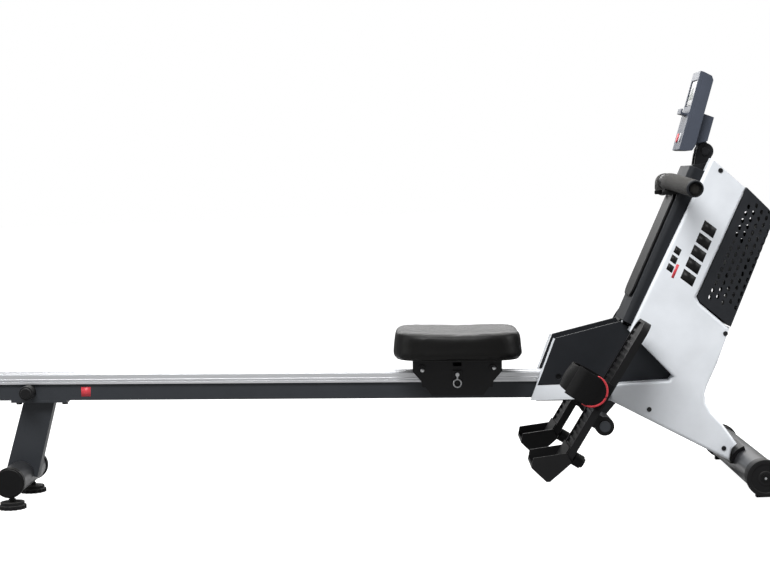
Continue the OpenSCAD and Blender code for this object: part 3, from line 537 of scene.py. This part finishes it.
def rounded(node, width, segments=2, sharp=32.0):
    """The solid's triangles merged and flat neighbours dissolved, then its edges bevelled.

    Every edge over the sharp angle is cut by width metres. The two housing halves only
    round the edges of their outer faces, since their walls are thinner than the rounding.
    """
    mesh = nodes[node].data.copy()
    shell = bmesh.new()
    shell.from_mesh(mesh)
    bmesh.ops.remove_doubles(shell, verts=shell.verts, dist=1e-5)
    bmesh.ops.dissolve_limit(shell, angle_limit=math.radians(0.8), verts=shell.verts,
                             edges=shell.edges)
    bmesh.ops.recalc_face_normals(shell, faces=shell.faces)
    housing = node.startswith("casing_") and node != "casing_screws"
    if housing:
        mark_outer_edges(shell, float(np.abs(np.array(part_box(node))[:, 1]).max()))
    shell.to_mesh(mesh)
    shell.free()
    leftover = mesh.attributes.get("custom_normal")
    if leftover:
        mesh.attributes.remove(leftover)
    mesh.polygons.foreach_set("use_smooth", np.ones(len(mesh.polygons), bool))
    piece = bpy.data.objects.new(node + "_skin", mesh)
    bpy.context.scene.collection.objects.link(piece)
    bevel = piece.modifiers.new("round", "BEVEL")
    bevel.width = width
    bevel.segments = 5 if housing else segments
    bevel.limit_method = "WEIGHT" if housing else "ANGLE"
    bevel.angle_limit = math.radians(sharp)
    bevel.use_clamp_overlap = not housing
    even = piece.modifiers.new("even", "WEIGHTED_NORMAL")
    even.keep_sharp = True
    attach(piece, body_of(nodes[node])[0])
    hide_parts(node)
    return piece


edge_radii = {
    "casing_right": 0.0065, "casing_left": 0.0065, "nose_cover": 0.0020,
    "inset_right": 0.0012, "inset_left": 0.0012, "grille_right": 0.0010,
    "grille_left": 0.0010, "strap_cover": 0.0022, "saddle_trim": 0.0012,
    "rail_bracket": 0.0012, "base_beam": 0.0020, "console_clevis": 0.0016,
    "console_back": 0.0040, "console_front": 0.0016, "mode_button": 0.0010,
    "start_button": 0.0010, "rail_body": 0.0016, "rail_track": 0.0006,
    "rail_end_cap": 0.0018, "rear_leg": 0.0022, "rear_leg_bolts": 0.0006,
    "stop_buffers": 0.0020, "rear_foot_caps": 0.0018, "front_foot_caps": 0.0018,
    "leveller_right": 0.0010, "leveller_left": 0.0010, "carriage": 0.0010,
    "footplate_right": 0.0016, "footplate_left": 0.0016, "heel_cup_right": 0.0014,
    "heel_cup_left": 0.0014, "heel_knob_right": 0.0016, "heel_knob_left": 0.0016,
    "transport_wheel_right": 0.0022, "transport_wheel_left": 0.0022, "fold_lock": 0.0014,
    "strap_clip": 0.0012, "casing_screws": 0.0005, "pedal_axle": 0.0008,
}
for node, radius in edge_radii.items():
    rounded(node, radius)
print("rounded", len(edge_radii), "parts")

# %% [markdown]
# ## Surfaces worked out as arrays
#
# The new pieces are grids of points. A grid is one array with a row for each step along
# the piece and a column for each step round it, and one helper turns it into a mesh with
# a map in metres, so that woven threads keep their size wherever the strip goes.

# %% Grid to mesh
def along_rows(grid):
    """Running length down each column of a grid: the sum of the steps between rows."""
    steps = np.linalg.norm(np.diff(grid, axis=0), axis=2)
    return np.vstack([np.zeros(grid.shape[1]), np.cumsum(steps, axis=0)])


def grid_piece(name, grid, slot, body, round_columns=False, round_rows=False, cap=False,
               material=None):
    """A mesh from an (n, m, 3) grid of points.

    Each quad joins a point to the next row and column, wrapping where asked.
    """
    n, m = grid.shape[:2]
    index = np.arange(n * m).reshape(n, m)
    rows = np.arange(n if round_rows else n - 1)
    cols = np.arange(m if round_columns else m - 1)
    i, j = np.meshgrid(rows, cols, indexing="ij")
    i2, j2 = (i + 1) % n, (j + 1) % m
    quads = np.stack([index[i, j], index[i2, j], index[i2, j2], index[i, j2]], axis=-1)
    faces = quads.reshape(-1, 4).tolist()
    if cap:
        faces += [index[0].tolist(), index[-1][::-1].tolist()]
    mesh = bpy.data.meshes.new(name)
    mesh.from_pydata(grid.reshape(-1, 3).tolist(), [], faces)
    mesh.polygons.foreach_set("use_smooth", np.ones(len(mesh.polygons), bool))
    across = np.concatenate([np.zeros((n, 1)), np.cumsum(
        np.linalg.norm(np.diff(grid, axis=1), axis=2), axis=1)], axis=1)
    flat = np.stack([along_rows(grid), across], axis=-1).reshape(-1, 2)
    corners = np.empty(len(mesh.loops), int)
    mesh.loops.foreach_get("vertex_index", corners)
    layer = mesh.uv_layers.new(name="metres")
    layer.data.foreach_set("uv", flat[corners].ravel())
    closed = bmesh.new()
    closed.from_mesh(mesh)
    bmesh.ops.recalc_face_normals(closed, faces=closed.faces)
    closed.to_mesh(mesh)
    closed.free()
    piece = bpy.data.objects.new(name, mesh)
    bpy.context.scene.collection.objects.link(piece)
    mesh.materials.append(material or finishes[slot])
    if body:
        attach(piece, body)
    return piece


def tube_grid(path, radii, around=32):
    """Rings round a path: two directions across the tangent, scaled by the radius there."""
    tangent = np.gradient(path, axis=0)
    tangent /= np.linalg.norm(tangent, axis=1, keepdims=True)
    helper = np.where(np.abs(tangent[:, 2:3]) > 0.9, [[1.0, 0, 0]], [[0, 0, 1.0]])
    side = np.cross(helper, tangent)
    side /= np.linalg.norm(side, axis=1, keepdims=True)
    over = np.cross(tangent, side)
    angle = np.linspace(0, 2 * np.pi, around, endpoint=False)
    ring = (np.cos(angle)[None, :, None] * side[:, None] +
            np.sin(angle)[None, :, None] * over[:, None])
    return path[:, None] + ring * np.asarray(radii)[:, None, None]


print("grid helpers ready")

# %% [markdown]
# ## The handle
#
# Each half of the handle is a steel bar in a foam sleeve that is straight in the middle
# and bends softly outwards, down and forward. A sweep with a smooth bend shows no crease.
# The sleeve's ends are rolled in, and a hard plug closes the tube.

# %% Foam grips and end plugs
grip_low, grip_high = (np.array(corner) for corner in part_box("handle_grips"))
foam_radius = 0.0175
bend_at = 0.060
bend_soft = 0.022
grip_start = np.array([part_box("handle_bar")[0][0] + 0.0125, 0.0, grip_high[2] - foam_radius])
grip_end = np.array([grip_high[0] - foam_radius, grip_high[1], grip_low[2] + foam_radius])
lean = (grip_end - grip_start) / (grip_end[1] - bend_at)


def handle_line(y):
    """Centre line of one half: straight to the bend, then leaning.

    The bend is the smooth corner of a hyperbola: half the sum of the way past the bend
    and the root of its square plus the softness squared.
    """
    past = 0.5 * ((y - bend_at) + np.sqrt((y - bend_at) ** 2 + bend_soft ** 2))
    return np.stack([grip_start[0] + lean[0] * past, y, grip_start[2] + lean[2] * past], -1)


def rolled_ends(y, start, end, roll):
    """Radius factor that falls to 0.86 on a quarter circle within roll of either end."""
    near = np.minimum(np.minimum(y - start, end - y) / roll, 1.0)
    return 0.86 + 0.14 * np.sqrt(np.clip(1 - (1 - near) ** 2, 0, 1))


plug_length = 0.0065
for word, side in (("right", -1), ("left", 1)):
    first, last = 0.0245, grip_end[1] - plug_length
    y = np.concatenate([first + 0.006 * np.linspace(0, 1, 7) ** 2,
                        np.linspace(first + 0.008, last - 0.008, 60),
                        last - 0.006 * np.linspace(1, 0, 7) ** 2])
    ring_groove = 1 - 0.05 * np.exp(-((y - 0.083) / 0.0016) ** 2)
    path = handle_line(y) * [1, side, 1]
    sleeve = grid_piece("grip_foam_" + word,
                        tube_grid(path, foam_radius * ring_groove *
                                  rolled_ends(y, first, last, 0.004), 40),
                        "grip_foam", "handle", round_columns=True, cap=True)
    if side < 0:
        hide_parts("handle_grips")
    y = last + plug_length * np.array([-0.2, 0, 0.0, 0.45, 0.75, 0.92, 1.0, 1.0])
    plug_radius = foam_radius * np.array([0.5, 0.5, 1.0, 1.0, 0.975, 0.91, 0.80, 0.02])
    grid_piece("grip_plug_" + word,
               tube_grid(handle_line(y) * [1, side, 1], plug_radius, 40),
               "dark_plastic", "handle", round_columns=True, cap=True)
print("handle from y", round(first, 4), "to", round(float(grip_end[1]), 4))

# %% [markdown]
# ## The seat
#
# The seat is a foam block under a stretched vinyl cover, stapled to a hard pan. Its top is
# a shallow saddle with full, round edges. A subdivided box would look hard, so the block
# is swollen by a cloth simulation with pressure inside it, and then its movement is
# capped, so that the pad stays the size it was drawn. The welt round its foot is a thin
# tube just inside the same outline.

# %% Outline of the pad
seat_low, seat_high = (np.array(corner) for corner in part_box("seat_pad"))
seat_half_w = seat_high[1]
pad_spread = 0.004          # how far the foam hangs over the pan's rear end, halved
rail_tilt = math.atan2(rail_up[0], rail_up[2])
pad_half_l = (seat_high[0] - seat_low[0]) / 2 / math.cos(rail_tilt) - 0.001 + pad_spread
pad_middle = (seat_low + seat_high) / 2 - pad_spread * rail_along
pad_height = 0.046


def on_seat(local):
    """Points given as (along the rail, across, off the rail) from the pad's middle."""
    local = np.asarray(local, float)
    return (pad_middle + local[..., :1] * rail_along + local[..., 1:2] * [0, 1, 0] +
            local[..., 2:3] * rail_up)


def pad_outline(angle, shrink=0.0, power=4.2):
    """A superellipse that narrows a little towards its ends.

    Half length and half width are multiplied by the 2/power powers of cosine and sine.
    """
    c, s = np.cos(angle), np.sin(angle)
    x = np.sign(c) * np.abs(c) ** (2 / power) * (pad_half_l - shrink)
    y = np.sign(s) * np.abs(s) ** (2 / power) * (seat_half_w - shrink)
    return x, y * (1 - 0.05 * (x / pad_half_l) ** 2)


def saddle(x, y):
    """Height added to the top: it rises as the square of x and dips along the middle."""
    return 0.005 * (x / pad_half_l) ** 2 - 0.0035 * np.exp(-(y / 0.06) ** 2) - 0.0025


# %% The foam block, before and after it swells
around, bottom, top = 144, -0.5 * pad_height, 0.5 * pad_height + 0.008
angle = np.linspace(0, 2 * np.pi, around, endpoint=False)
top_blend, side_blend = 0.01, 0.02
profile = [(0.02, bottom), (0.55, bottom), (0.95, bottom), (0.99, bottom + 0.002),
           (1.0, bottom + 0.008), (0.985, bottom + 0.022), (0.97, top - 0.012),
           (0.958, top - 0.005), (0.93, top - 0.001), (0.88, top), (0.7, top - 0.0005),
           (0.5, top - 0.001), (0.25, top - 0.0015), (0.02, top - 0.0015)]
rings = []
for share, height in profile:
    x, y = pad_outline(angle, shrink=-0.001)
    x, y = x * share, y * share
    lift = saddle(x, y)
    if height <= top - top_blend:
        lift = 0.4 * lift * (height > bottom + side_blend)
    rings.append(np.stack([x, y, height + lift], axis=-1))
seat_pad = grid_piece("seat_cover", on_seat(np.array(rings)), "vinyl", "seat",
                      round_columns=True, cap=True)


def apply_modifiers(piece):
    """Replaces the piece's mesh by its evaluated one, so that no live modifier is left."""
    graph = bpy.context.evaluated_depsgraph_get()
    final = bpy.data.meshes.new_from_object(piece.evaluated_get(graph))
    piece.modifiers.clear()
    piece.data = final
    final.polygons.foreach_set("use_smooth", np.ones(len(final.polygons), bool))


def points_of(mesh):
    """All vertex places of a mesh as one (n, 3) array."""
    flat = np.empty(len(mesh.vertices) * 3, np.float32)
    mesh.vertices.foreach_get("co", flat)
    return flat.reshape(-1, 3)


def swell(piece, cap, pressure=4.0, voxel=0.0055, frames=20):
    """Remeshes the block, lets Cloth with inside pressure round it, and caps the movement."""
    remesh = piece.modifiers.new("even_mesh", "REMESH")
    remesh.mode = "VOXEL"
    remesh.voxel_size = voxel
    apply_modifiers(piece)
    before = points_of(piece.data)
    cloth = piece.modifiers.new("swell", "CLOTH")
    cloth.settings.use_pressure = True
    cloth.settings.uniform_pressure_force = pressure
    cloth.settings.effector_weights.gravity = 0.0
    cloth.settings.quality = 5
    cloth.point_cache.frame_start, cloth.point_cache.frame_end = 1, frames
    for number in range(1, frames + 1):
        bpy.context.scene.frame_set(number)
    apply_modifiers(piece)
    after = points_of(piece.data)
    moved = after - before
    far = np.linalg.norm(moved, axis=1, keepdims=True)
    after = before + moved * np.minimum(1.0, cap / np.maximum(far, 1e-9))
    piece.data.vertices.foreach_set("co", after.astype(np.float32).ravel())
    bpy.context.scene.frame_set(1)
    print("swelled", piece.name, "by up to", round(float(far.max()) * 1000, 1), "mm")
    finer = piece.modifiers.new("finer", "SUBSURF")
    finer.levels = finer.render_levels = render_levels
    apply_modifiers(piece)
    piece.data.materials.clear()
    piece.data.materials.append(finishes["vinyl"])


swell(seat_pad, cap=0.0025)
local = points_of(seat_pad.data) - pad_middle
height = local @ rail_up
low_limit, high_limit = -pad_height / 2, pad_height / 2 + 0.010
pushed = np.clip(height, low_limit, high_limit) - height
flattened = points_of(seat_pad.data) + pushed[:, None] * rail_up
seat_pad.data.vertices.foreach_set("co", flattened.astype(np.float32).ravel())
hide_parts("seat_pad")
print("seat cover has", len(seat_pad.data.polygons), "faces")

# %% Pan and welt under the cover
x, y = pad_outline(angle, shrink=0.022)
pan_shape = [(0.05, -0.0262), (0.90, -0.0262), (0.955, -0.0255), (0.985, -0.0235),
             (0.992, -0.0205), (0.97, -0.0195), (0.05, -0.0195)]
pan = np.array([np.stack([x * share, y * share, np.full_like(x, z)], -1)
                for share, z in pan_shape])
grid_piece("seat_pan", on_seat(pan), "black_plastic", "seat", round_columns=True, cap=True)
x, y = pad_outline(np.linspace(0, 2 * np.pi, 241)[:-1], shrink=0.009)
welt_line = on_seat(np.stack([x, y, np.full_like(x, -0.0232)], -1))
step_on, step_back = np.roll(welt_line, -1, axis=0), np.roll(welt_line, 1, axis=0)
tangent = step_on - step_back
tangent /= np.linalg.norm(tangent, axis=1, keepdims=True)
outward = np.cross(tangent, rail_up)
turn = np.linspace(0, 2 * np.pi, 12, endpoint=False)
welt = welt_line[:, None] + 0.0019 * (np.cos(turn)[None, :, None] * outward[:, None] +
                                      np.sin(turn)[None, :, None] * rail_up)
grid_piece("seat_welt", welt, "vinyl", "seat", round_columns=True, round_rows=True)
print("pan and welt done")

# %% Bolt heads on the carriage and the wheels
def bolt_head(name, place, radius, side, body):
    """A low dome on the given side: rings round the Y axis, from the flange to the crown."""
    rings = np.array([(1.0, 0.0), (1.0, 0.10), (0.86, 0.30), (0.55, 0.45), (0.05, 0.52)])
    around = np.linspace(0, 2 * np.pi, 32, endpoint=False)
    dome = np.stack([rings[:, :1] * np.cos(around) * radius,
                     side * rings[:, 1:] * radius + 0.0 * around,
                     rings[:, :1] * np.sin(around) * radius], axis=-1)
    grid_piece(name, np.asarray(place) + dome, "zinc", body, round_columns=True, cap=True)


carriage_low, carriage_high = (np.array(corner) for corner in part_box("carriage"))
carriage_size = carriage_high - carriage_low
far_side = np.array([0, carriage_size[1], 0])
bolt_radius, wheel_bolt_radius = 0.0042, 0.0030
bolt_shares, bolt_height = (0.11, 0.90), 0.72
for number, share in enumerate(bolt_shares):
    spot = carriage_low + carriage_size * [share, 0.0, bolt_height]
    bolt_head(f"carriage_bolt_{number + 1}", spot, bolt_radius, -1, "seat")
    bolt_head(f"carriage_bolt_{number + 3}", spot + far_side, bolt_radius, 1, "seat")
for side, label in ((-1, "right"), (1, "left")):
    node = "transport_wheel_" + label
    low, high = (np.array(corner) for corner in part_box(node))
    hub = (low + high) / 2
    hub[1] = high[1] if side > 0 else low[1]
    bolt_head("wheel_bolt_" + label, hub, wheel_bolt_radius, side,
              body_of(nodes[node])[0])
print("bolt heads done")

# %% [markdown]
# ## Foot straps
#
# A wide black webbing band arches over each foot plate. Its free end folds down over the
# outer side and ends in a round tab with red piping, which is what the rower pulls. Both
# are ribbons: a line in the plane across the plate, carried along the plate's length, and
# given a thickness by a Solidify modifier.

# %% Frame of one foot plate
def on_plate(side, t, y, n):
    """A place by the foot plate, from the axle: t along it, y outwards, n off it."""
    axle = np.array(joints["pedal_right_tilt"]["pos_m"]) * [1, -side, 1]
    t, y, n = np.broadcast_arrays(t, y, n)
    return (axle + t[..., None] * plate_along + n[..., None] * plate_up +
            (side * y)[..., None] * [0, 1, 0])


strap_low, strap_high = (np.array(corner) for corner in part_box("foot_strap_right"))
band_middle, band_width = 0.050, 0.060
arch_half = (strap_high[1] - strap_low[1]) / 2 - 0.003
arch_foot, arch_top = 0.028, 0.1125
thickness = 0.0030


def thicken(piece, amount=thickness):
    """Gives a ribbon its thickness on both sides of its middle, and rounds its rim."""
    solid = piece.modifiers.new("thickness", "SOLIDIFY")
    solid.thickness = amount
    solid.offset = 0.0
    rim = piece.modifiers.new("rim", "BEVEL")
    rim.width = amount * 0.35
    rim.segments = 2
    rim.angle_limit = math.radians(50)
    apply_modifiers(piece)


def arch(share):
    """Half a superellipse from the inner side over to the outer one: y and n for a share."""
    turn = np.pi * share
    c, s = np.cos(turn), np.sin(turn)
    y = -np.sign(c) * np.abs(c) ** 0.55 * arch_half
    return y, arch_foot + (arch_top - arch_foot) * np.abs(s) ** 0.62


# %% Band, tab and piping
tab_radius = 0.031
tab_centre = 0.062
tab_top = 0.104
tuck_from, tuck = 0.088, 0.016
for word, side in (("right", -1), ("left", 1)):
    share = np.linspace(0.0, 1.0, 81)[:, None]
    across = np.linspace(-0.5, 0.5, 17)[None, :]
    y, n = arch(share)
    waist = 1 - 0.10 * np.sin(np.pi * share) ** 2
    sag = 0.0035 * np.cos(np.pi * across) * np.sin(np.pi * share)
    band = grid_piece("foot_band_" + word,
                      on_plate(side, band_middle + across * band_width * waist, y, n + sag),
                      "webbing", "pedal_" + word)
    thicken(band)
    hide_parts("foot_strap_" + word)
    # the free end: from the arch's top down the outer side to a round tab
    depth = np.linspace(0.0, 1.0, 41)[:, None]
    fall = tab_top - depth * (tab_top - (tab_centre - tab_radius))
    past = np.clip((tab_centre - fall) / tab_radius, 0, 1)
    half = tab_radius * np.sqrt(np.clip(1 - past ** 2, 0.0004, 1))
    bulge = arch_half + 0.0032 + 0.0035 * np.sin(np.pi * np.clip(depth * 1.2, 0, 1))
    lean_in = -tuck * np.clip((fall - tuck_from) / tuck, 0, 1) ** 2
    t = band_middle - 0.001 + across * 2 * half
    tab = grid_piece("foot_tab_" + word, on_plate(side, t, bulge + lean_in, fall + 0 * t),
                     "webbing", "pedal_" + word)
    thicken(tab)
    edge = np.radians(np.linspace(-8, 188, 49))
    line = on_plate(side, band_middle - 0.001 + tab_radius * np.cos(edge),
                    arch_half + 0.0050 + 0 * edge, tab_centre - tab_radius * np.sin(edge))
    grid_piece("foot_piping_" + word, tube_grid(line, np.full(len(line), 0.0021), 12),
               "webbing", "pedal_" + word, round_columns=True, cap=True,
               material=finishes["piping"])
print("foot straps done")

# %% [markdown]
# ## The pull strap
#
# The handle's webbing comes over the guide roller at the top of the nose and runs level to
# the clip. When the handle is pulled it pays out, so the strip is blended between the two
# bodies: its rear end stays on the roller while its front end goes with the handle.

# %% Webbing from the roller to the clip
strap_low, strap_high = (np.array(corner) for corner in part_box("pull_strap"))
strap_z = (strap_low[2] + strap_high[2]) / 2
roller_axis = np.array(joints["guide_roller_spin"]["pos_m"])
wrap_radius = strap_z - roller_axis[2]
level_steps, across_steps = 60, 9
level = np.linspace(strap_low[0] - 0.006, roller_axis[0], level_steps)
turned = np.radians(np.linspace(3, 88, 18))
run_x = np.concatenate([level, roller_axis[0] + wrap_radius * np.sin(turned)])
run_z = np.concatenate([np.full(level_steps, strap_z),
                        roller_axis[2] + wrap_radius * np.cos(turned)])
width = np.linspace(strap_low[1], strap_high[1], across_steps)
ribbon = np.stack([np.repeat(run_x[:, None], across_steps, 1),
                   np.repeat(width[None], len(run_x), 0),
                   np.repeat(run_z[:, None], across_steps, 1)], axis=-1)
pull = grid_piece("pull_webbing", ribbon, "webbing", None)
thicken(pull, 0.0015)
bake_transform(pull, "base", "handle", start=(float(roller_axis[0]), 0.0, float(strap_z)),
         end=(float(strap_low[0]) - 0.004, 0.0, float(strap_z)))
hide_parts("pull_strap")
print("pull strap", round(float(np.ptp(run_x)) * 1000), "mm long in sight")

# %% [markdown]
# ## The display
#
# The display window is a thin glass plate with a slightly domed face. Behind it a plain
# liquid crystal panel shows a row of bars, with no figures or words.

# %% Glass plate and bars, laid out on the console's own slope
screen_low, screen_high = (np.array(corner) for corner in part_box("console_screen"))
into = np.array(joints["mode_key_press"]["axis"])
climb = np.array([-into[2], 0.0, into[0]])
screen_middle = (screen_low + screen_high) / 2
screen_half_w = screen_high[1]
screen_half_h = (screen_high[2] - screen_low[2]) / 2 / climb[2] - 0.0010


def domed_plate(name, centre, half_w, half_h, thick, slot, body, proud=0.0, power=10.0):
    """A plate with a superellipse for outline.

    Its rings shrink to the middle while the front rises on a shallow dome.
    """
    turn = np.linspace(0, 2 * np.pi, 96, endpoint=False)
    c, s = np.cos(turn), np.sin(turn)
    u = np.sign(c) * np.abs(c) ** (2 / power) * half_w
    v = np.sign(s) * np.abs(s) ** (2 / power) * half_h
    steps = [(0.03, -1.0), (0.98, -1.0), (1.0, -0.8), (1.0, 0.6), (0.985, 0.95), (0.95, 1.0),
             (0.6, 1.15), (0.3, 1.22), (0.03, 1.25)]
    rows = [centre + u[:, None] * share * [0, 1, 0] + v[:, None] * share * climb -
            (level * thick / 2 + proud) * into for share, level in steps]
    return grid_piece(name, np.array(rows), slot, body, round_columns=True, cap=True)


glass = domed_plate("display_glass", screen_middle, screen_half_w, screen_half_h, 0.0020,
                    "screen", "console")
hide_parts("console_screen")
bar_count = 9
for number in range(bar_count):
    share = (number + 0.5) / bar_count * 2 - 1
    tall = 0.004 + 0.010 * math.exp(-(share / 0.55) ** 2)
    centre = screen_middle + share * 0.8 * screen_half_w * np.array([0, 1.0, 0])
    centre = centre + (tall - 0.014) * climb
    domed_plate(f"display_bar_{number + 1}", centre, 0.0022, tall, 0.0003, "screen",
                "console", proud=0.00135, power=6.0).data.materials[0] = (
                    finishes["display_glow"])
print("display done")

# %% [markdown]
# ## Plain decoration
#
# The silver housing carries a dark graphic that runs up along its lean, and the rail a
# small red mark. Here both are plain slanted blocks: thin film cut from a sheet, a tenth
# of a millimetre proud of the panel, with no letters.

# %% Film blocks on the housing and the rail
film_thick = 0.00012


def film_block(name, corners, outward, body, slot):
    """A thin prism from four corners in order, raised along outward by its thickness."""
    corners = np.array(corners, float)
    lifted = corners + np.array(outward) * film_thick
    return grid_piece(name, np.stack([corners, lifted]), slot, body, round_columns=True,
                      cap=True)


def film_rectangle(name, corner, along, across, outward, body, slot):
    """A film block from one corner and its two sides."""
    film_block(name, [corner, corner + along, corner + along + across, corner + across],
               outward, body, slot)


lean_angle = math.radians(24.5)
lean_dir = np.array([math.sin(lean_angle), 0.0, math.cos(lean_angle)])
cross_dir = np.array([math.cos(lean_angle), 0.0, -math.sin(lean_angle)])
casing_low = np.array(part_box("casing_right")[0])
graphic_foot = np.array([casing_low[0] + 0.302, 0.0, casing_low[2] + 0.388])
sunk = 0.00002
dash_length, dash_width, mark_side = 0.030, 0.006, 0.020
mark_back, mark_down = 1.055, 0.0190
# each row: distance across, height, block, gap, count and start along the lean
block_rows = [(0.012, 0.030, 0.021, 0.006, 5, 0.0), (-0.022, 0.014, 0.014, 0.005, 3, 0.006)]
for word, side in (("right", -1), ("left", 1)):
    out = np.array([0.0, side, 0.0])
    base = graphic_foot + out * (abs(casing_low[1]) - sunk)
    for row, (shift, tall, block, gap, count, start) in enumerate(block_rows):
        slanted = tall * cross_dir - 0.25 * tall * lean_dir
        for number in range(count):
            first = base + (start + number * (block + gap)) * lean_dir + shift * cross_dir
            film_rectangle(f"film_{word}_{row}_{number}", first, block * lean_dir, slanted,
                           out, "base", "black_plastic")
    film_rectangle(f"film_{word}_red", base - dash_width * (lean_dir + cross_dir),
                   dash_length * lean_dir, dash_width * cross_dir, out, "base", "key_red")
    rail_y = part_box("rail_end_cap")[1][1] - 0.005
    mark = pin - mark_back * rail_along - mark_down * rail_up + out * (rail_y - sunk)
    film_rectangle(f"rail_mark_{word}", mark, mark_side * rail_along, mark_side * rail_up,
                   out, "rail", "key_red")
print("film blocks done")
